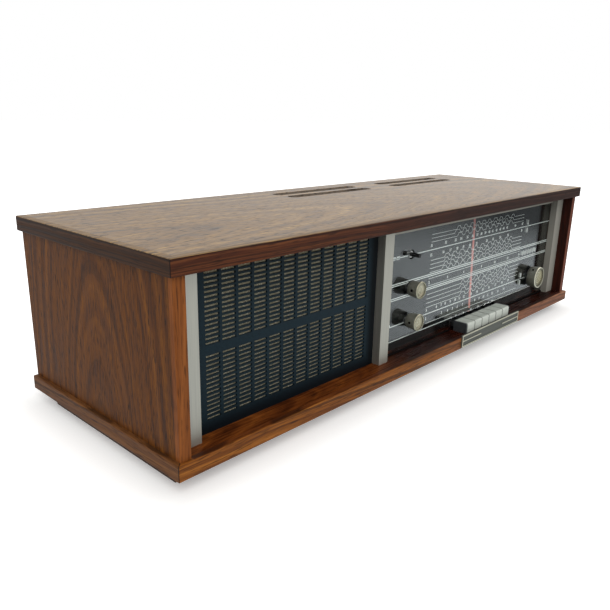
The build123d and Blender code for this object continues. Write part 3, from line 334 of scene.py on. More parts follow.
low_end_tones = [(0.3, "#3c2212"), (0.45, "#633d1f"), (0.6, "#734a28"), (0.78, "#865a33")]
glue_tones = [(0.3, "#0c0604"), (0.7, "#1a0f09")]
dark_tones = [(0.3, "#1e100c"), (0.5, "#34201a"), (0.7, "#4a2e25")]
# The middle and right of the top strip are darker, and so are the ends. The bottom strip
# turns redder to the right.
darker, redder = {1: 130, 2: 330}, {1: 300, 2: 480}
upper = add(tree, "ShaderNodeMath", {0: 1.0, 1: low}, operation="SUBTRACT")
far = add(tree, "ShaderNodeMapRange", {0: along, **darker})
far = add(tree, "ShaderNodeMath", {0: far, 1: upper}, operation="MULTIPLY")
low_far = add(tree, "ShaderNodeMapRange", {0: along, **redder})
low_far = add(tree, "ShaderNodeMath", {0: low_far, 1: low}, operation="MULTIPLY")
low_end = add(tree, "ShaderNodeMath", {0: low, 1: on_end}, operation="MULTIPLY")
# The bottom strip's upper side is stained like the shelf between the side panels, but for
# its front edge, which keeps the strip's paler tones as a painted highlight.
shelf_face, between_sides, edge_highlight = -0.2, 301.5, {1: 0.7, 2: 1.7}
on_shelf = add(tree, "ShaderNodeMath", {0: up, 1: shelf_face}, operation="GREATER_THAN")
between = add(tree, "ShaderNodeMath", {0: out, 1: between_sides}, operation="LESS_THAN")
on_shelf = add(tree, "ShaderNodeMath", {0: on_shelf, 1: low}, operation="MULTIPLY")
on_shelf = add(tree, "ShaderNodeMath", {0: on_shelf, 1: between}, operation="MULTIPLY")
# Painted highlight: the front millimetre or so keeps the strip's paler tones.
past_highlight = add(tree, "ShaderNodeMapRange", {0: back, **edge_highlight})
on_shelf = add(tree, "ShaderNodeMath", {0: on_shelf, 1: past_highlight}, operation="MULTIPLY")
right_half = add(tree, "ShaderNodeMapRange", {0: along, **turns_deep})
deep_shelf = add(tree, "ShaderNodeMath", {0: on_shelf, 1: right_half}, operation="MULTIPLY")
timber(
    tree,
    shader,
    edge_grain,
    high_tones,
    heart=(-20, 20),
    ring=3.2,
    slope=0.03,
    gloss=(0.45, 0.6),
    waver=9,
    veins=(2.2, 0.5),
    others=[
        (low, low_tones),
        (low_far, red_tones),
        (far, dark_tones),
        (on_end, end_tones),
        (low_end, low_end_tones),
        (on_shelf, shelf_tones),
        (deep_shelf, deep_tones),
        (mitre, glue_tones),
        (on_top, board_tones),
    ],
)
oiled_gleam = 0.12
gleam = add(tree, "ShaderNodeMapRange", {0: on_top, 3: oiled_gleam, 4: filled_gleam})
lacquer = add(tree, "ShaderNodeMapRange", {0: along, **worn})
coat = add(tree, "ShaderNodeMath", {0: lacquer, 1: on_top}, operation="MULTIPLY")
fill(tree, shader, {"Specular IOR Level": gleam, "Coat Weight": coat})
clothe(edges, "board_lippings")

# The strips on the side panels are warm brown in front, darker at the right end of the
# cabinet, and almost black inside the recess, which is painted shade.
uprights, tree, shader = surface("Rosewood lipping, upright", ior=1.5, specular_ior_level=0.12)
upright_tones = [(0.3, "#3f1e0c"), (0.44, "#74401a"), (0.6, "#8a5024"), (0.78, "#a26330")]
recess_half, right_from = 301.8, 600.0
# Painted shade: the faces inside the recess are nearly black.
inner = add(tree, "ShaderNodeMath", {0: off_middle(tree), 1: recess_half}, operation="LESS_THAN")
recess_shade_tones = [(0.3, "#1a0704"), (0.7, "#3c160c")]
across = distances(tree)[0]
at_right = add(tree, "ShaderNodeMath", {0: across, 1: right_from}, operation="GREATER_THAN")
right_tones = [(0.3, "#34170d"), (0.5, "#633322"), (0.7, "#824b34")]
timber(
    tree,
    shader,
    turned(tree, "ZXY"),
    upright_tones,
    heart=(20, 30),
    ring=3.5,
    slope=0.03,
    gloss=(0.45, 0.6),
    waver=6,
    others=[(at_right, right_tones), (inner, recess_shade_tones)],
)
clothe(uprights, "side_lippings")


# Side panels: 9.5 mm board veneered with the grain standing upright, painted dark on the
# faces inside the front recess as painted shade. Oiled veneer looks warm and matt, with
# long veins.
sides, tree, shader = surface("Rosewood veneer, upright", ior=1.5, specular_ior_level=0.12)
side_tones = [(0.3, "#371a06"), (0.43, "#552e0c"), (0.57, "#693c10"), (0.74, "#7f4e1b")]
# Painted shade: the faces inside the recess are nearly black.
inner = add(tree, "ShaderNodeMath", {0: off_middle(tree), 1: recess_half}, operation="LESS_THAN")
timber(
    tree,
    shader,
    turned(tree, "ZYX"),
    side_tones,
    heart=(102, 26),
    ring=6,
    slope=0.2,
    gloss=(0.45, 0.6),
    pores=(9, 0.8, 0.8),
    fibre=(60, 1.2),
    lines=0.52,
    veins=(3.6, 0.28),
    others=[(inner, recess_shade_tones)],
)
clothe(sides, "left_side_panel", "right_side_panel")


# Battens, partition and baffle: sawn strips and cut board, glued and screwed in place. The
# battens under the case are coloured a dull dark brown, a painted shade for the shadow
# they stand in.
battens, tree, shader = surface("Softwood in painted shade", ior=1.5, specular_ior_level=0.2)
shaded_batten_tones = [(0.3, "#24160e"), (0.5, "#3a2517"), (0.7, "#4c3320")]
timber(tree, shader, turned(tree, "XYZ"), shaded_batten_tones, heart=(70, 60), gloss=(0.6, 0.8))
clothe(battens, "plinth_battens")

# Bare softwood is a pale straw yellow.
plain, tree, shader = surface("Sawn softwood", ior=1.5)
plain_tones = [(0.3, "#7a5a3a"), (0.5, "#a98559"), (0.7, "#c29c6b")]
timber(tree, shader, turned(tree, "XYZ"), plain_tones, heart=(70, 60), gloss=(0.6, 0.8))
clothe(plain, "rear_battens")

# Pressed flakes of wood give a mottle of small flat patches.
chips, tree, shader = surface("Chipboard, bare", ior=1.5, roughness=0.85)
flake_size, flake_tones = 2.5, [(0.1, "#8a6b48"), (0.9, "#b8966a")]
flakes = {"Vector": measured(tree), "Scale": 1 / flake_size}
flakes = add(tree, "ShaderNodeTexVoronoi", flakes)
tone = add(tree, "ShaderNodeValToRGB", {0: flakes.outputs["Color"]}, stops=flake_tones)
fill(tree, shader, {"Base Color": tone})
clothe(chips, "partition", "baffle_board")


# Uprights and top rail: extruded aluminium, brushed lengthways and left satin. Brushing
# gives a soft grey gleam that runs along each piece. The lines are drawn wider than the
# real ones, which would be too fine to show. The right upright and the top rail get darker
# tones as painted shade, and the right upright is near black behind the glass, a painted
# shade in the corner there.
line_length, line_width, scratch_depth = 60, 0.35, 0.04 / 1000
shade_edge = 0.5


def brushed(name, pale, dark, axes, rough=(0.5, 0.62), shade_behind_from=None):
    """Aluminium with brush lines along the first of the axes, near black from a given setback
    back, as painted shade.
    """
    material, tree, shader = surface(name, metallic=1.0)
    lines = streaks(tree, turned(tree, axes), line_length, line_width, 2.0)
    tone = add(tree, "ShaderNodeValToRGB", {0: lines}, stops=[(0.3, dark), (0.7, pale)])
    # Painted shade: near black behind the glass, in the corner by the side panel.
    if shade_behind_from:
        edge = {0: distances(tree)[1], 1: shade_behind_from, 2: shade_behind_from + shade_edge}
        behind_glass_shade = add(tree, "ShaderNodeMapRange", edge)
        blend = {"Factor": behind_glass_shade, "A": tone, "B": linear("#1f262b")}
        tone = add(tree, "ShaderNodeMix", blend, data_type="RGBA")
    sheen = add(tree, "ShaderNodeMapRange", {0: lines, **noise_span, 3: rough[0], 4: rough[1]})
    scratches = {"Strength": 0.15, "Distance": scratch_depth, "Height": lines}
    relief = add(tree, "ShaderNodeBump", scratches)
    fill(tree, shader, {"Base Color": tone, "Roughness": sheen, "Normal": relief})
    return material


clothe(brushed("Brushed aluminium", "#bcb9ae", "#a6a49b", "ZXY"), "left_post", "centre_post")
# The right upright takes a darker copy of the aluminium's tones, as painted shade.
clothe(
    brushed(
        "Brushed aluminium, right",
        "#ada9a0",
        "#9b988f",
        "ZXY",
        rough=(0.85, 0.95),
        shade_behind_from=22.6,
    ),
    "right_post",
)
# The top rail takes a darker copy still, as painted shade under the top board.
clothe(brushed("Brushed aluminium, rail", "#a5a297", "#918e84", "XYZ"), "dial_top_rail")


# Grille: punched sheet steel, sprayed dark blue with a satin paint. It is painted darker
# along the foot and the right edge, a painted shade. Spray paint dries with a faint orange
# peel, which softens the sheen.
paint, tree, shader = surface("Sprayed satin paint", ior=1.5, specular_ior_level=0.1)
peel_per_mm, peel_depth = 0.9, 0.05 / 1000
blue_tones = [(0.3, "#101d24"), (0.7, "#172830")]
shaded_foot, shaded_right_edge = {1: 3.0, 2: 14.0, 3: 0.85, 4: 0.0}, {1: 221.0, 2: 228.0, 3: 0.0, 4: 0.9}
peel = {"Vector": measured(tree), "Scale": peel_per_mm, "Detail": 2.0}
peel = add(tree, "ShaderNodeTexNoise", peel)
tone = add(tree, "ShaderNodeValToRGB", {0: peel}, stops=blue_tones)
along, _, up = distances(tree)
# Painted shade: near black along the foot and the right edge.
shade_at_foot = add(tree, "ShaderNodeMapRange", {0: up, **shaded_foot})
shade_at_edge = add(tree, "ShaderNodeMapRange", {0: along, **shaded_right_edge})
foot_and_edge_shade = add(tree, "ShaderNodeMath", {0: shade_at_foot, 1: shade_at_edge}, operation="MAXIMUM")
blend = {"Factor": foot_and_edge_shade, "A": tone, "B": linear("#04070b")}
tone = add(tree, "ShaderNodeMix", blend, data_type="RGBA")
sheen = add(tree, "ShaderNodeMapRange", {0: peel, 3: 0.42, 4: 0.6})
relief = {"Strength": 0.2, "Distance": peel_depth, "Height": peel}
relief = add(tree, "ShaderNodeBump", relief)
fill(tree, shader, {"Base Color": tone, "Roughness": sheen, "Normal": relief})
clothe(paint, "grille_panel")


# Speaker cloth: a plain weave of beige and gold threads, stretched over the baffle
# behind the grille and glued down along its edges.
def at(x, y, z):
    """A point from its three distances in millimetres, in the frame's metres."""
    return Vector(((x - half_width) / 1000, (y - to_front) / 1000, (z + shelf_level) / 1000))


def new_piece(name, mesh, material, body):
    """An object for a finished mesh, at the origin, riding on its body."""
    piece = bpy.data.objects.new(name, mesh)
    bpy.context.collection.objects.link(piece)
    mesh.materials.clear()
    mesh.materials.append(material)
    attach(piece, body)
    return piece


# The weave looks speckled, with bright gold threads here and there, their own colour lifted
# to near white by a painted glint. Its threads are drawn farther apart than the real ones,
# which would be too fine to show.
weave, tree, shader = surface("Woven speaker cloth", roughness=0.9, ior=1.45)
thread_pitch, thread_height = 1.2, 0.2 / 1000
cloth_tones = [(0.1, "#423d30"), (0.5, "#8a826a"), (0.9, "#b5ac8e")]
gold_per_mm, gold_span = 0.85, {1: 0.54, 2: 0.66, 3: 0.0, 4: 0.9}
along, _, up = distances(tree)
waves = math.tau / thread_pitch
warp = add(tree, "ShaderNodeMath", {0: along, 1: waves}, operation="MULTIPLY")
weft = add(tree, "ShaderNodeMath", {0: up, 1: waves}, operation="MULTIPLY")
over = add(tree, "ShaderNodeMath", {0: warp}, operation="SINE")
under = add(tree, "ShaderNodeMath", {0: weft}, operation="SINE")
crossing = add(tree, "ShaderNodeMath", {0: over, 1: under}, operation="MULTIPLY")
level = add(tree, "ShaderNodeMapRange", {0: crossing, 1: -1.0, 2: 1.0})
tone = add(tree, "ShaderNodeValToRGB", {0: level}, stops=cloth_tones)
# Painted glint: specks of the gold threads are lifted to near white.
glint = {"Vector": measured(tree), "Scale": gold_per_mm, "Detail": 2.0, "Roughness": 0.8}
glint = add(tree, "ShaderNodeTexNoise", glint)
glint = add(tree, "ShaderNodeMapRange", {0: glint, **gold_span})
blend = {"Factor": glint, "A": tone, "B": linear("#ece6cf")}
tone = add(tree, "ShaderNodeMix", blend, data_type="RGBA")
relief = {"Strength": 0.5, "Distance": thread_height, "Height": level}
relief = add(tree, "ShaderNodeBump", relief)
fill(tree, shader, {"Base Color": tone, "Normal": relief})

cloth_left, cloth_right, cloth_foot, cloth_head = 14.0, 239.5, 0.0, 125.6
cloth_front, cloth_back = 24.65, 25.35
cloth_steps = (90, 50)
mesh = bpy.data.meshes.new("grille_cloth")
shape = bmesh.new()
rows = []
for row in range(cloth_steps[1] + 1):
    z = cloth_foot + (cloth_head - cloth_foot) * row / cloth_steps[1]
    line = []
    for column in range(cloth_steps[0] + 1):
        x = cloth_left + (cloth_right - cloth_left) * column / cloth_steps[0]
        line.append(shape.verts.new(at(x, cloth_front, z)))
    rows.append(line)
for row in range(cloth_steps[1]):
    for column in range(cloth_steps[0]):
        low, high = rows[row], rows[row + 1]
        shape.faces.new((low[column], low[column + 1], high[column + 1], high[column]))
shape.to_mesh(mesh)
shape.free()
grille_cloth = new_piece("grille_cloth", mesh, weave, "cabinet")
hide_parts("speaker_cloth")
thickness = grille_cloth.modifiers.new("Cloth thickness", "SOLIDIFY")
thickness.thickness = (cloth_back - cloth_front) / 1000
thickness.offset = -1


# Loudspeaker: a paper pulp cone with a pleated rim in a pressed steel basket, with a
# ferrite magnet behind it, screwed to the baffle board.
def plain_finish(name, dark, pale, size, rough, bump=0.0, **values):
    """A finish with a mottle of a size in millimetres, two tones and a span of roughness."""
    material, tree, shader = surface(name, **values)
    mottle = {"Vector": measured(tree), "Scale": 1 / size, "Detail": 3.0}
    mottle = add(tree, "ShaderNodeTexNoise", mottle)
    tone = add(tree, "ShaderNodeValToRGB", {0: mottle}, stops=[(0.3, dark), (0.7, pale)])
    sheen = add(tree, "ShaderNodeMapRange", {0: mottle, **noise_span, 3: rough[0], 4: rough[1]})
    fill(tree, shader, {"Base Color": tone, "Roughness": sheen})
    if bump:
        relief = {"Strength": 0.4, "Distance": bump / 1000, "Height": mottle}
        fill(tree, shader, {"Normal": add(tree, "ShaderNodeBump", relief)})
    return material


# Pulp and ferrite are rough and swallow light, and zinc has a cold cloudy gleam.
pulp = plain_finish("Paper pulp", "#2a2826", "#3b3733", 1.5, (0.8, 0.95), bump=0.1)
clothe(pulp, "speaker_cone")
zinc = plain_finish("Zinc-plated steel", "#8d9093", "#b2b5b6", 9, (0.3, 0.5), metallic=1.0)
clothe(zinc, "speaker_basket", "chassis", "gang_frame", "key_frame")
ferrite = plain_finish("Ferrite", "#232324", "#353536", 1.2, (0.6, 0.8), bump=0.08)
clothe(ferrite, "speaker_magnet")
screws = plain_finish("Bright zinc screws", "#9b9c98", "#c4c4be", 2, (0.25, 0.45), metallic=1.0)
clothe(screws, "speaker_screws", "rear_cover_screws")


# Dial glass: 3 mm float glass, drilled for the controls and notched for the keys. It is
# clear with a faint green tint and mirrors the floor. Light from a lamp goes through it
# without a bend, so what stands behind it is lit.
tint = linear("#f4f8f6")
glass, tree, shader = surface(
    "Float glass", base_color=tint, transmission_weight=1.0, roughness=0.0, ior=1.5
)
ray = add(tree, "ShaderNodeLightPath")
clear = add(tree, "ShaderNodeBsdfTransparent", {0: tint})
pane = {0: ray.outputs["Is Shadow Ray"], 1: shader, 2: clear}
pane = add(tree, "ShaderNodeMixShader", pane)
fill(tree, tree.nodes["Material Output"], {"Surface": pane})
clothe(glass, "dial_glass")


# Rubber strips: extruded black sections pushed in along the foot of the glass, on both
# sides of the keys. Rubber is dull and nearly black.
rubber = plain_finish(
    "Black rubber", "#060606", "#0d0d0e", 1.2, (0.75, 0.9), specular_ior_level=0.05
)
strip_front, strip_back, strip_height, strip_corner = 21.8, 22.95, 1.5, 0.45
corner_steps = 4
strip_ends = ((253.5, 368.5), (470.5, 612.5))
mesh = bpy.data.meshes.new("glass_strips")
shape = bmesh.new()
outline = [(strip_back, 0.0), (strip_back, strip_height)]
for n in range(corner_steps + 1):
    turn = math.pi / 2 * (1 + n / corner_steps)
    outline.append((
        strip_front + strip_corner + strip_corner * math.cos(turn),
        strip_height - strip_corner + strip_corner * math.sin(turn),
    ))
outline.append((strip_front, 0.0))
for strip_left, strip_right in strip_ends:
    ends = [[shape.verts.new(at(x, y, z)) for y, z in outline] for x in (strip_left, strip_right)]
    shape.faces.new(ends[0])
    shape.faces.new(ends[1])
    for n in range(len(outline)):
        m = (n + 1) % len(outline)
        shape.faces.new((ends[0][n], ends[0][m], ends[1][m], ends[1][n]))
bmesh.ops.recalc_face_normals(shape, faces=shape.faces)
shape.to_mesh(mesh)
shape.free()
new_piece("glass_strips", mesh, rubber, "cabinet")


# Print on the back of the glass: matt ink that is nearly white, screen-printed 0.1 mm
# thick. Long rules divide the wave ranges, finer stepped lines lead to each station's
# place, and numbers stand in rows. The glass bends the view, so the print stands a little
# off the places that are seen on the dial.
ink = plain_finish("Screen-printed ink", "#e6e8e5", "#f0f1ee", 1.0, (0.6, 0.75))
print_front, print_back = 26.05, 26.15
bend_x, bend_z = 1.6, -0.7


def ribbon_tree():
    """Edges become flat strips of ink of a given width."""
    group = bpy.data.node_groups.new("Ink strips", "GeometryNodeTree")
    face = group.interface
    face.new_socket("Geometry", in_out="INPUT", socket_type="NodeSocketGeometry")
    face.new_socket("Strip width", in_out="INPUT", socket_type="NodeSocketFloat")
    face.new_socket("Ink thickness", in_out="INPUT", socket_type="NodeSocketFloat")
    face.new_socket("Ink", in_out="INPUT", socket_type="NodeSocketMaterial")
    face.new_socket("Geometry", in_out="OUTPUT", socket_type="NodeSocketGeometry")
    start = add(group, "NodeGroupInput")
    paths = add(group, "GeometryNodeMeshToCurve", {"Mesh": start.outputs["Geometry"]})
    level = add(group, "GeometryNodeSetCurveNormal", {"Curve": paths})
    profile = add(
        group,
        "GeometryNodeCurvePrimitiveQuadrilateral",
        {"Width": start.outputs["Ink thickness"], "Height": start.outputs["Strip width"]},
    )
    strips = add(
        group,
        "GeometryNodeCurveToMesh",
        {"Curve": level, "Profile Curve": profile, "Fill Caps": True},
    )
    whole = add(group, "GeometryNodeRealizeInstances", {0: strips})
    inked = add(
        group,
        "GeometryNodeSetMaterial",
        {"Geometry": whole, "Material": start.outputs["Ink"]},
    )
    add(group, "NodeGroupOutput", {"Geometry": inked})
    return group


def grown(name, mesh, group, inputs):
    """The mesh that a node tree makes of a base mesh, with nothing left live."""
    base = bpy.data.objects.new(name, mesh)
    bpy.context.collection.objects.link(base)
    live = base.modifiers.new("Nodes", "NODES")
    live.node_group = group
    for item in group.interface.items_tree:
        if item.item_type == "SOCKET" and item.name in inputs:
            live[item.identifier] = inputs[item.name]
    bpy.context.view_layer.update()
    ready = base.evaluated_get(bpy.context.evaluated_depsgraph_get())
    made = bpy.data.meshes.new_from_object(ready)
    made.name = name
    bpy.data.objects.remove(base)
    return made


strips = ribbon_tree()


def print_paths(name, paths, width):
    """Prints a list of paths, each a list of (across, up) points as seen on the dial."""
    mesh = bpy.data.meshes.new(name)
    points, joins = [], []
    middle = (print_front + print_back) / 2
    for path in paths:
        first = len(points)
        points += [at(x + bend_x, middle, z + bend_z) for x, z in path]
        joins += [(first + n, first + n + 1) for n in range(len(path) - 1)]
    mesh.from_pydata(points, joins, [])
    sizes = {
        "Strip width": width / 1000,
        "Ink thickness": (print_back - print_front) / 1000,
        "Ink": ink,
    }
    return new_piece(name, grown(name, mesh, strips, sizes), ink, "cabinet")


rules = [
    [(293, 94.8), (601, 94.8)],
    [(247, 94.8), (281, 94.8)],
    [(247, 69.9), (601, 69.9)],
    [(247, 68.1), (601, 68.1)],
    [(247, 56.1), (601, 56.1)],
    [(247, 54.3), (601, 54.3)],
    [(247, 28.6), (546, 28.6)],
    [(247, 13.4), (374, 13.4)],
    [(467, 13.4), (572, 13.4)],
]
print_paths("dial_rules", rules, width=0.9)
thin_start, lines_end = 321, 524
thin_rules = [[(thin_start, z), (lines_end, z)] for z in (65.4, 58.2, 18.6)]

# Patches of ink stand at the left ends of the bands, and one small one near a right end.
# Taller marks stand at the right ends, with a row of six in the middle band.
patch, small_patch, mark_half = 5.4, 4.0, 2.9
row_foot, row_head = 58.9, 63.9
patches = [[(x, 94.8), (x + patch, 94.8)] for x in (249, 256, 263)]
patches += [[(x, z), (x + small_patch, z)] for x, z in ((249, 61.2), (249, 29.6), (255, 29.6))]
patches += [[(520.8, 91), (523.2, 91)]]
print_paths("dial_patches", patches, width=3.2)
marks = [(537, 99.6), (536.5, 90.0), (534, 33.4), (533, 24.0)]
marks = [[(x, z - mark_half), (x, z + mark_half)] for x, z in marks]
row = (531.6, 538.2, 545.9, 552.5, 560.2, 566.8)
marks += [[(x, row_foot), (x, row_head)] for x in row]
print_paths("dial_marks", marks, width=5.4)

steps = random.Random(7)
first_step, step_width, slant = (4, 7), (3.0, 6.0), 0.8


def stepped(level, start, end, busy_start, busy_end, rise, raised):
    """A fine line that jumps up and down between the stations' places."""
    run = slant * rise
    path = [(start, level)]
    x = busy_start
    if raised:
        path += [(x - run, level), (x, level + rise)]
        x += steps.uniform(*first_step)
    while x < busy_end:
        here = level + (rise if raised else 0)
        raised = not raised
        there = level + (rise if raised else 0)
        path += [(x, here), (x + run, there)]
        x += run + steps.uniform(*step_width)
    if raised:
        path += [(x, level + rise), (x + run, level)]
    path.append((end, level))
    return path


stations = []
# Each band has its lines' heights, where they start, grow busy and grow calm, and the rise.
bands = (
    ((110.2, 106.4, 102.7), (321, 366, 500), 3.3),
    ((84.0, 79.9, 75.8, 71.7), (322, 346, 492), 3.2),
    ((49.2, 44.6, 40.1, 35.6), (320, 385, 494), 3.4),
)
for levels, (first, busy, calm), rise in bands:
    for n, level in enumerate(levels):
        late = busy + steps.uniform(0, 5)
        raised = n % 2 == 1
        stations.append(stepped(level, first, lines_end, late, calm, rise, raised))
print_paths("dial_station_lines", stations + thin_rules, width=0.5)

# Each row has its height, its places, its first number and the step to the next one.
number_rows = [
    (
        99.0,
        [322, 348, 367, 378, 391, 402, 412, 421, 430, 439, 447, 456, 465, 473, 482, 503, 522],
        31,
        1,
    ),
    (89.5, [322, 344.6, 358, 371.5, 384, 397.8, 412.6, 435, 450, 467, 486.5], 15, 1),
    (61.3, [322, 357, 390, 429, 460, 492, 521.8], 2, 2),
    (32.6, [321, 340, 349, 357, 367, 377, 386, 395, 411, 424, 438, 452, 468, 484, 500], 5, 1),
    (23.5, [321, 351, 363, 373, 383, 394, 421, 431, 441, 451, 462, 476, 491], 2, 1),
    (13.4, [382, 397.5, 414, 430, 445.5, 454.5, 463.5], 6, 2),
]
digit_height, type_size, boldness = 3.0, 1.35, 0.13 / 1000
mesh = bpy.data.meshes.new("dial_numbers")
numbers = bmesh.new()
for level, places, first, jump in number_rows:
    for n, x in enumerate(places):
        text = bpy.data.curves.new("number", "FONT")
        text.body = str(first + n * jump)
        text.align_x = "CENTER"
        text.align_y = "CENTER"
        text.size = digit_height * type_size / 1000
        text.extrude = (print_back - print_front) / 2000
        text.offset = boldness
        text.resolution_u = 2
        carrier = bpy.data.objects.new("number", text)
        bpy.context.collection.objects.link(carrier)
        bpy.context.view_layer.update()
        ready = carrier.evaluated_get(bpy.context.evaluated_depsgraph_get())
        flat = bpy.data.meshes.new_from_object(ready)
        middle = at(x + bend_x, (print_front + print_back) / 2, level + bend_z)
        flat.transform(Matrix.Translation(middle) @ Matrix.Rotation(math.pi / 2, 4, "X"))
        numbers.from_mesh(flat)
        bpy.data.objects.remove(carrier)
        bpy.data.curves.remove(text)
        bpy.data.meshes.remove(flat)
numbers.to_mesh(mesh)
numbers.free()
new_piece("dial_numbers", mesh, ink, "cabinet")


# Backplate and dial lamps: sheet steel painted matt black, so that the print stands out
# before it, and two pale bulbs in their holders behind its top corners.
black = plain_finish(
    "Matt black paint",
    "#070809",
    "#0d0f10",
    2.5,
    (0.7, 0.85),
    bump=0.05,
    specular_ior_level=0.05,
)
clothe(black, "dial_backplate")
clothe(plain_finish("Lamp glass", "#b9b7a8", "#cfcdbf", 3, (0.1, 0.2)), "dial_lamps")


# Controls: potentiometers in drawn cans on the backplate, whose steel spindles come through
# the glass. Drawn aluminium is bright and smooth. The upper spindle has lost its knob, and
# its blackened end shows.
cans = plain_finish("Drawn aluminium", "#a9a9a5", "#c6c6c1", 6, (0.25, 0.4), metallic=1.0)
clothe(cans, "potentiometers", "if_cans", "gang_rotor")
clothe(zinc, "lower_spindle", "middle_spindle", "tuning_shaft")
spindle = plain_finish("Blackened steel", "#08090a", "#141516", 1.5, (0.35, 0.5))
clothe(spindle, "upper_spindle")
brass = plain_finish("Turned brass", "#9d8146", "#b79a59", 2, (0.25, 0.4), metallic=1.0)
clothe(brass, "left_pulley", "right_pulley")
bronze = plain_finish("Blackened bronze", "#0d0b09", "#1a1612", 1.5, (0.4, 0.55))
clothe(bronze, "shaft_bushes")


# Knobs: moulded in grey-olive plastic, with a plated rim and a dished disc turned from
# brass and let into the front. The grub screw's hole shows in the side. The plastic is
# dull and darker towards the glass, which is painted shade, the holes are painted black
# as shade, the rim flashes, and the discs gleam in rings and darken to their edges, a
# painted shade.
unshaded_length, darkest_shade_at, rim_depth = 6, 21.5, 0.45
skin, mouth_depth = 0.25, 2.7
mottle_per_mm, rings_per_mm, ring_depth = 0.7, 2.2, 0.04 / 1000
edge_shade_share = 0.62
small_axes = (287.5, 46.4, 16.1)
tuning_axis = (559.5, 28.0, 0.0)


def off_axis(tree, column, row, spread):
    """Millimetres from a knob's axis; with a spread, from the nearer of two."""
    along, back, up = distances(tree)
    over = add(tree, "ShaderNodeMath", {0: along, 1: column}, operation="SUBTRACT")
    up = add(tree, "ShaderNodeMath", {0: up, 1: row}, operation="SUBTRACT")
    up = add(tree, "ShaderNodeMath", {0: up}, operation="ABSOLUTE")
    up = add(tree, "ShaderNodeMath", {0: up, 1: spread}, operation="SUBTRACT")
    flat = add(tree, "ShaderNodeCombineXYZ", {0: over, 1: up})
    reach = add(tree, "ShaderNodeVectorMath", {0: flat}, operation="LENGTH")
    return reach.outputs["Value"], back


def knob_finish(name, column, row, spread, front, radius, taper, plating):
    """Plastic sides with painted shade towards the back, a bright rim, and holes painted black as
    shade.
    """
    material, tree, shader = surface(name, ior=1.5)
    reach, back = off_axis(tree, column, row, spread)
    mottle = {"Vector": measured(tree), "Scale": mottle_per_mm, "Detail": 3.0}
    mottle = add(tree, "ShaderNodeTexNoise", mottle)
    plastic_tones = [(0.3, "#53534a"), (0.7, "#67675c")]
    tone = add(tree, "ShaderNodeValToRGB", {0: mottle}, stops=plastic_tones)
    # Painted shade: the sides darken towards the glass.
    back_shade = {1: front + unshaded_length, 2: darkest_shade_at, 3: 0.0, 4: 0.6}
    painted_shade = add(tree, "ShaderNodeMapRange", {0: back, **back_shade})
    blend = {"Factor": painted_shade, "A": tone, "B": linear("#16170f")}
    tone = add(tree, "ShaderNodeMix", blend, data_type="RGBA")
    from_mouth = add(tree, "ShaderNodeMath", {0: back, 1: front}, operation="SUBTRACT")
    widened = add(
        tree,
        "ShaderNodeMath",
        {0: from_mouth, 1: taper, 2: reach},
        operation="MULTIPLY_ADD",
    )
    inner = radius - skin
    # Painted shade: the inside of the grub hole and the bore is painted near black.
    shaded_hollow = add(tree, "ShaderNodeMath", {0: widened, 1: inner}, operation="LESS_THAN")
    behind = add(tree, "ShaderNodeMath", {0: from_mouth, 1: mouth_depth}, operation="GREATER_THAN")
    shaded_hollow = add(tree, "ShaderNodeMath", {0: shaded_hollow, 1: behind}, operation="MULTIPLY")
    blend = {"Factor": shaded_hollow, "A": tone, "B": linear("#050505")}
    tone = add(tree, "ShaderNodeMix", blend, data_type="RGBA")
    rim = add(tree, "ShaderNodeMath", {0: back, 1: front + rim_depth}, operation="LESS_THAN")
    blend = {"Factor": rim, "A": tone, "B": linear(plating)}
    tone = add(tree, "ShaderNodeMix", blend, data_type="RGBA")
    polish = add(tree, "ShaderNodeMapRange", {0: rim, 3: 0.34, 4: 0.24})
    fill(tree, shader, {"Base Color": tone, "Metallic": rim, "Roughness": polish})
    return material


def disc_finish(name, column, row, spread, radius, dark, pale, shade):
    """Brass turned on a lathe: fine rings round the knob's axis, with painted shade towards the
    edge.
    """
    material, tree, shader = surface(name, metallic=1.0)
    reach, _ = off_axis(tree, column, row, spread)
    rings = add(
        tree,
        "ShaderNodeTexNoise",
        {"W": reach, "Scale": rings_per_mm, "Detail": 2.0},
        noise_dimensions="1D",
    )
    tone = add(tree, "ShaderNodeValToRGB", {0: rings}, stops=[(0.3, dark), (0.7, pale)])
    # Painted shade: the disc darkens towards its edge, where the dish reflects dark.
    edge_shade_from = radius * edge_shade_share
    edge = add(tree, "ShaderNodeMapRange", {0: reach, 1: edge_shade_from, 2: radius, 4: shade})
    blend = {"Factor": edge, "A": tone, "B": linear("#26210f")}
    tone = add(tree, "ShaderNodeMix", blend, data_type="RGBA")
    sheen = add(tree, "ShaderNodeMapRange", {0: rings, 3: 0.16, 4: 0.34})
    relief = {"Strength": 0.2, "Distance": ring_depth, "Height": rings}
    relief = add(tree, "ShaderNodeBump", relief)
    fill(tree, shader, {"Base Color": tone, "Roughness": sheen, "Normal": relief})
    return material


knob = knob_finish(
    "Moulded knobs", *small_axes, front=9.5, radius=8.6, taper=0.11, plating="#9f9a84"
)
clothe(knob, "lower_knob", "middle_knob")
knob = knob_finish(
    "Moulded tuning knob", *tuning_axis, front=9.8, radius=13.6, taper=0.087, plating="#cbc6b0"
)
clothe(knob, "tuning_knob")
disc = disc_finish(
    "Turned brass discs", *small_axes, radius=6.9, dark="#98917a", pale="#c6bfa6", shade=0.5
)
clothe(disc, "lower_knob_inlay", "middle_knob_inlay")
disc = disc_finish(
    "Turned brass tuning disc",
    *tuning_axis,
    radius=11.9,
    dark="#857c5e",
    pale="#b3aa88",
    shade=0.93,
)
clothe(disc, "tuning_knob_inlay")

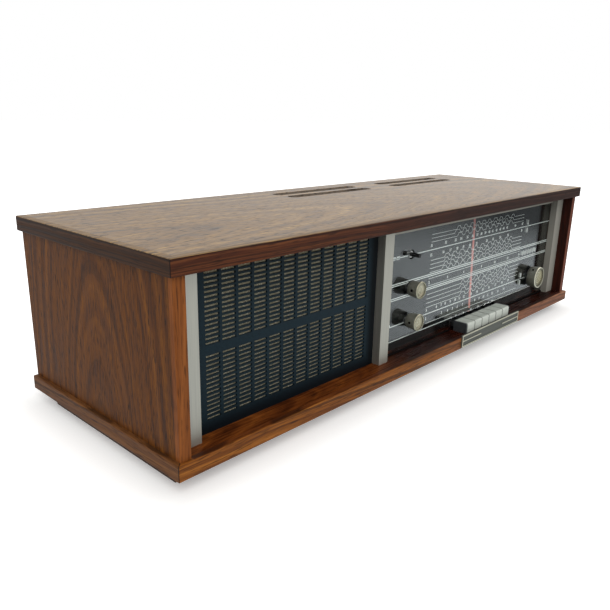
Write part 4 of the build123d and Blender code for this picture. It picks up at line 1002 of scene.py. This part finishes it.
# Black felt washers fill the gap between each knob and the glass, and look soft and dull.
felt = plain_finish("Black felt", "#08080a", "#141417", 0.5, (0.9, 1.0), bump=0.1)
felt_front, felt_back, felt_sides = 21.75, 22.95, 48
mesh = bpy.data.meshes.new("knob_felts")
shape = bmesh.new()
for column, row, bore, radius in (
    (287.5, 62.5, 2.6, 6.4),
    (287.5, 30.3, 2.6, 6.4),
    (559.5, 28.0, 3.6, 11.0),
):
    loops = []
    for y, reach in (
        (felt_front, bore),
        (felt_front, radius),
        (felt_back, radius),
        (felt_back, bore),
    ):
        loop = []
        for n in range(felt_sides):
            turn = math.tau * n / felt_sides
            place = at(column + reach * math.cos(turn), y, row + reach * math.sin(turn))
            loop.append(shape.verts.new(place))
        loops.append(loop)
    for first, second in zip(loops, loops[1:] + loops[:1]):
        for n in range(felt_sides):
            m = (n + 1) % felt_sides
            shape.faces.new((first[n], first[m], second[m], second[n]))
bmesh.ops.recalc_face_normals(shape, faces=shape.faces)
shape.to_mesh(mesh)
shape.free()
new_piece("knob_felts", mesh, felt, "cabinet")


# Drive train: a flywheel of cast and turned iron on the tuning shaft, a moulded drum, a spun
# cord that runs round both pulleys, the shaft and the drum, and a pointer painted pale red.
iron = plain_finish("Turned iron", "#5b5b5a", "#7d7c7a", 3, (0.35, 0.5), metallic=1.0)
clothe(iron, "flywheel")
clothe(plain_finish("Moulded drum", "#24211e", "#312d29", 3, (0.35, 0.5)), "drive_drum")
cord = plain_finish("Spun cord", "#8d8775", "#b1aa95", 0.6, (0.8, 0.95), bump=0.1)
clothe(cord, "drive_cord")
clothe(plain_finish("Painted pointer", "#e0736a", "#f29188", 1, (0.4, 0.55)), "pointer")


# Keys: moulded grey plastic caps on dark arms, pivoted behind the glass between two dark
# cheeks. The plastic is smooth and even. The keys' fronts are lighter and their tops a
# shade darker, and painted shade darkens them along the gaps.
keys, tree, shader = surface("Moulded ABS, grey", ior=1.5)
top_tones = [(0.3, "#9aa097"), (0.7, "#adb2a9")]
front_tones = [(0.3, "#bfc4bb"), (0.7, "#d0d5cb")]
lighter_front, arm = {1: 3.3, 2: 4.8, 3: 1.0, 4: 0.0}, {1: 18.4, 2: 19.0}
gap_shade = {1: 0.6, 2: 1.2, 3: 0.45, 4: 0.0}
key_pitch, first_gap, mottle_per_mm = 15.8, 372.45, 0.33
mottle = {"Vector": measured(tree), "Scale": mottle_per_mm, "Detail": 3.0}
mottle = add(tree, "ShaderNodeTexNoise", mottle)
top_tone = add(tree, "ShaderNodeValToRGB", {0: mottle}, stops=top_tones)
front_tone = add(tree, "ShaderNodeValToRGB", {0: mottle}, stops=front_tones)
along, setback, _ = distances(tree)
on_front = add(tree, "ShaderNodeMapRange", {0: setback, **lighter_front})
blend = {"Factor": on_front, "A": top_tone, "B": front_tone}
tone = add(tree, "ShaderNodeMix", blend, data_type="RGBA")
# Painted shade: the keys darken next to the gaps between them.
from_gap = add(tree, "ShaderNodeMath", {0: along, 1: first_gap}, operation="SUBTRACT")
off_gap = add(tree, "ShaderNodeMath", {0: from_gap, 1: key_pitch / 2}, operation="PINGPONG")
painted_shade = add(tree, "ShaderNodeMapRange", {0: off_gap, **gap_shade})
blend = {"Factor": painted_shade, "A": tone, "B": linear("#1d2123")}
tone = add(tree, "ShaderNodeMix", blend, data_type="RGBA")
on_arm = add(tree, "ShaderNodeMapRange", {0: setback, **arm})
blend = {"Factor": on_arm, "A": tone, "B": linear("#0d0f10")}
tone = add(tree, "ShaderNodeMix", blend, data_type="RGBA")
sheen = add(tree, "ShaderNodeMapRange", {0: mottle, 3: 0.38, 4: 0.52})
fill(tree, shader, {"Base Color": tone, "Roughness": sheen})
clothe(keys, *(f"key_{n}" for n in range(1, 7)))
clothe(plain_finish("Dark cheeks", "#26282a", "#313335", 2, (0.4, 0.55)), "key_cheeks")


# Front plate: stamped aluminium, its sunk field etched and blackened inside a bright
# border, with two bright bars. The raised metal gleams softly, and the field is dull.
plate, tree, shader = surface("Stamped aluminium")
rolling_length, rolling_width, sunk_behind = 40, 0.4, -1.35
lines = streaks(tree, measured(tree), rolling_length, rolling_width, 2.0)
bright = add(tree, "ShaderNodeValToRGB", {0: lines}, stops=[(0.3, "#aba694"), (0.7, "#c3bea9")])
etched = add(tree, "ShaderNodeValToRGB", {0: lines}, stops=[(0.3, "#3d3f39"), (0.7, "#50524a")])
setback = distances(tree)[1]
sunk = add(tree, "ShaderNodeMath", {0: setback, 1: sunk_behind}, operation="GREATER_THAN")
blend = {"Factor": sunk, "A": bright, "B": etched}
tone = add(tree, "ShaderNodeMix", blend, data_type="RGBA")
metal = add(tree, "ShaderNodeMapRange", {0: sunk, 3: 1.0, 4: 0.0})
sheen = add(tree, "ShaderNodeMapRange", {0: sunk, 3: 0.42, 4: 0.6})
fill(tree, shader, {"Base Color": tone, "Metallic": metal, "Roughness": sheen})
clothe(plate, "front_plate")


# Chassis fittings: mains and output transformers, each a laminated core round a winding
# wrapped in paper, and glass valves with drawn tips in moulded sockets. The cores' edges
# show as fine dark lines, and the wrapping as a dull yellow.
iron, tree, shader = surface("Laminations and windings", roughness=0.55)
sheets_per_mm = 2.0
along, back, _ = distances(tree)
sheets = add(
    tree,
    "ShaderNodeTexNoise",
    {"W": back, "Scale": sheets_per_mm, "Detail": 1.0},
    noise_dimensions="1D",
)
core = add(tree, "ShaderNodeValToRGB", {0: sheets}, stops=[(0.3, "#2c2b2b"), (0.7, "#55534f")])
paper = add(tree, "ShaderNodeValToRGB", {0: sheets}, stops=[(0.3, "#7c6238"), (0.7, "#94784a")])
# The output transformer is the smaller one, and the mains one on the right the larger.
between_them, middles, core_halves = 450.0, (84.0, 125.0), (9.1, 15.1)
for_mains = add(tree, "ShaderNodeMath", {0: along, 1: between_them}, operation="GREATER_THAN")
middle = add(tree, "ShaderNodeMapRange", {0: for_mains, 3: middles[0], 4: middles[1]})
core_half = {0: for_mains, 3: core_halves[0], 4: core_halves[1]}
core_half = add(tree, "ShaderNodeMapRange", core_half)
aside = add(tree, "ShaderNodeMath", {0: back, 1: middle}, operation="SUBTRACT")
aside = add(tree, "ShaderNodeMath", {0: aside}, operation="ABSOLUTE")
winding = add(tree, "ShaderNodeMath", {0: aside, 1: core_half}, operation="GREATER_THAN")
blend = {"Factor": winding, "A": core, "B": paper}
tone = add(tree, "ShaderNodeMix", blend, data_type="RGBA")
fill(tree, shader, {"Base Color": tone})
clothe(iron, "transformers")

# The glass shows dark metal inside and a silvery getter at its top.
bulbs, tree, shader = surface("Valve glass and sockets", ior=1.5)
inside_tones = [(0.35, "#17181a"), (0.5, "#46484b"), (0.65, "#2a2b2e")]
silvered, socket_top, plates_per_mm = {1: 76, 2: 84}, 41.0, 0.12
height = distances(tree)[2]
inside = {"Vector": measured(tree), "Scale": plates_per_mm, "Detail": 2.0}
inside = add(tree, "ShaderNodeTexNoise", inside)
inside = add(tree, "ShaderNodeValToRGB", {0: inside}, stops=inside_tones)
getter = add(tree, "ShaderNodeMapRange", {0: height, **silvered})
blend = {"Factor": getter, "A": inside, "B": linear("#a4a6aa")}
tone = add(tree, "ShaderNodeMix", blend, data_type="RGBA")
in_socket = add(tree, "ShaderNodeMath", {0: height, 1: socket_top}, operation="LESS_THAN")
blend = {"Factor": in_socket, "A": tone, "B": linear("#2e1c12")}
tone = add(tree, "ShaderNodeMix", blend, data_type="RGBA")
sheen = add(tree, "ShaderNodeMapRange", {0: in_socket, 3: 0.08, 4: 0.45})
fill(tree, shader, {"Base Color": tone, "Roughness": sheen})
clothe(bulbs, "valves")


# Rear: a cover of pressed hardboard, dull and brown, that is screwed on, the aerial and
# loudspeaker sockets' strip of brown paper laminate, and a mains inlet moulded in black.
board = plain_finish("Pressed hardboard", "#5c3f26", "#734f30", 0.9, (0.65, 0.85), bump=0.1)
clothe(board, "rear_cover")
clothe(plain_finish("Paper laminate", "#7a5230", "#8c6340", 1.5, (0.4, 0.55)), "socket_strip")
clothe(plain_finish("Moulded phenolic", "#141210", "#211e1b", 2, (0.25, 0.4)), "mains_inlet")


# Floor: a wide white sheet. The camera sees it lifted a little near the radio and nearly
# white farther away, so that it keeps the shadow and runs into the background. Glossy
# surfaces see a pale sheet that grows dark to the right.
floor_material, tree, shader = surface(
    "White floor",
    roughness=0.9,
    base_color=linear("#f2f2f0"),
    specular_ior_level=0.0,
    emission_color=linear("#ffffff"),
)
footprint, near_and_far = (0.315, 0.105, 0.0), {1: 0.0, 2: 0.07, 3: 0.28, 4: 0.85}
dark_at_right = {1: 0.43, 2: 1.0, 3: 1.0, 4: 0.15}
ray = add(tree, "ShaderNodeLightPath")
spot = add(tree, "ShaderNodeTexCoord").outputs["Object"]
mirror = add(tree, "ShaderNodeVectorMath", {0: spot}, operation="ABSOLUTE")
beyond = add(tree, "ShaderNodeVectorMath", {0: mirror, 1: footprint}, operation="SUBTRACT")
beyond = add(tree, "ShaderNodeVectorMath", {0: beyond, 1: (0, 0, 0)}, operation="MAXIMUM")
away = add(tree, "ShaderNodeVectorMath", {0: beyond}, operation="LENGTH")
lift = add(tree, "ShaderNodeMapRange", {0: away.outputs["Value"], **near_and_far})
direct = add(
    tree,
    "ShaderNodeMath",
    {0: ray.outputs["Is Camera Ray"], 1: ray.outputs["Is Transmission Ray"]},
    operation="MAXIMUM",
)
lift = add(tree, "ShaderNodeMath", {0: lift, 1: direct}, operation="MULTIPLY")
fill(tree, shader, {"Emission Strength": lift})
right_side = add(tree, "ShaderNodeSeparateXYZ", {0: spot})
fading = add(tree, "ShaderNodeMapRange", {0: right_side, **dark_at_right})
mirrored = {"Color": linear("#eff6fa"), "Strength": fading}
mirrored = add(tree, "ShaderNodeEmission", mirrored)
both = {0: ray.outputs["Is Glossy Ray"], 1: shader, 2: mirrored}
both = add(tree, "ShaderNodeMixShader", both)
fill(tree, tree.nodes["Material Output"], {"Surface": both})
half = 12.0
mesh = bpy.data.meshes.new("floor")
corners = [(-half, -half, 0), (half, -half, 0), (half, half, 0), (-half, half, 0)]
mesh.from_pydata(corners, [], [(0, 1, 2, 3)])
mesh.materials.append(floor_material)
floor = bpy.data.objects.new("floor", mesh)
bpy.context.collection.objects.link(floor)


# Light: an even white room that looks brighter than it shines, a large soft lamp high at
# the front left, and a weak one at the front right.
room_light, room_looks = 0.6, 1.0
world = bpy.data.worlds.new("White room")
bpy.context.scene.world = world
world.use_nodes = True
tree = world.node_tree
ray = add(tree, "ShaderNodeLightPath")
seen = add(
    tree,
    "ShaderNodeMath",
    {0: ray.outputs["Is Camera Ray"], 1: ray.outputs["Is Glossy Ray"]},
    operation="MAXIMUM",
)
seen = add(
    tree,
    "ShaderNodeMath",
    {0: seen, 1: ray.outputs["Is Transmission Ray"]},
    operation="MAXIMUM",
)
level = add(tree, "ShaderNodeMapRange", {0: seen, 3: room_light, 4: room_looks})
fill(tree, tree.nodes["Background"], {"Color": linear("#ffffff"), "Strength": level})


def soft_lamp(name, place, target, size, power):
    """A square soft lamp that faces its target."""
    lamp = bpy.data.lights.new(name, "AREA")
    lamp.size = size
    lamp.energy = power
    holder = bpy.data.objects.new(name, lamp)
    bpy.context.collection.objects.link(holder)
    holder.location = place
    aim = Vector(target) - Vector(place)
    holder.rotation_mode = "QUATERNION"
    holder.rotation_quaternion = aim.to_track_quat("-Z", "Y")


dial_height = (0, 0, 0.1)
soft_lamp("key_lamp", (-1.3, -1.5, 1.9), dial_height, size=1.4, power=26)
soft_lamp("fill_lamp", (1.8, -1.2, 1.2), dial_height, size=1.2, power=6)


# Camera: the photograph's own angle, from a little above the top board at the front left.
# Its right and its up are given as directions in the frame.
focal_length, sensor, nearest = 37.2, 36.0, 0.01
standpoint = (-0.52255, -0.4052, 0.24371)
right = Vector((0.6859, -0.7274, 0.0203))
up = Vector((0.1977, 0.2131, 0.9568))
lens = bpy.data.cameras.new("camera")
lens.lens = focal_length
lens.sensor_width = sensor
lens.clip_start = nearest
camera = bpy.data.objects.new("camera", lens)
bpy.context.collection.objects.link(camera)
back = right.cross(up).normalized()
up = back.cross(right).normalized()
pose = Matrix((right.normalized(), up, back)).transposed().to_4x4()
pose.translation = standpoint
camera.matrix_world = pose
bpy.context.scene.camera = camera

bpy.context.scene.view_settings.view_transform = "Standard"
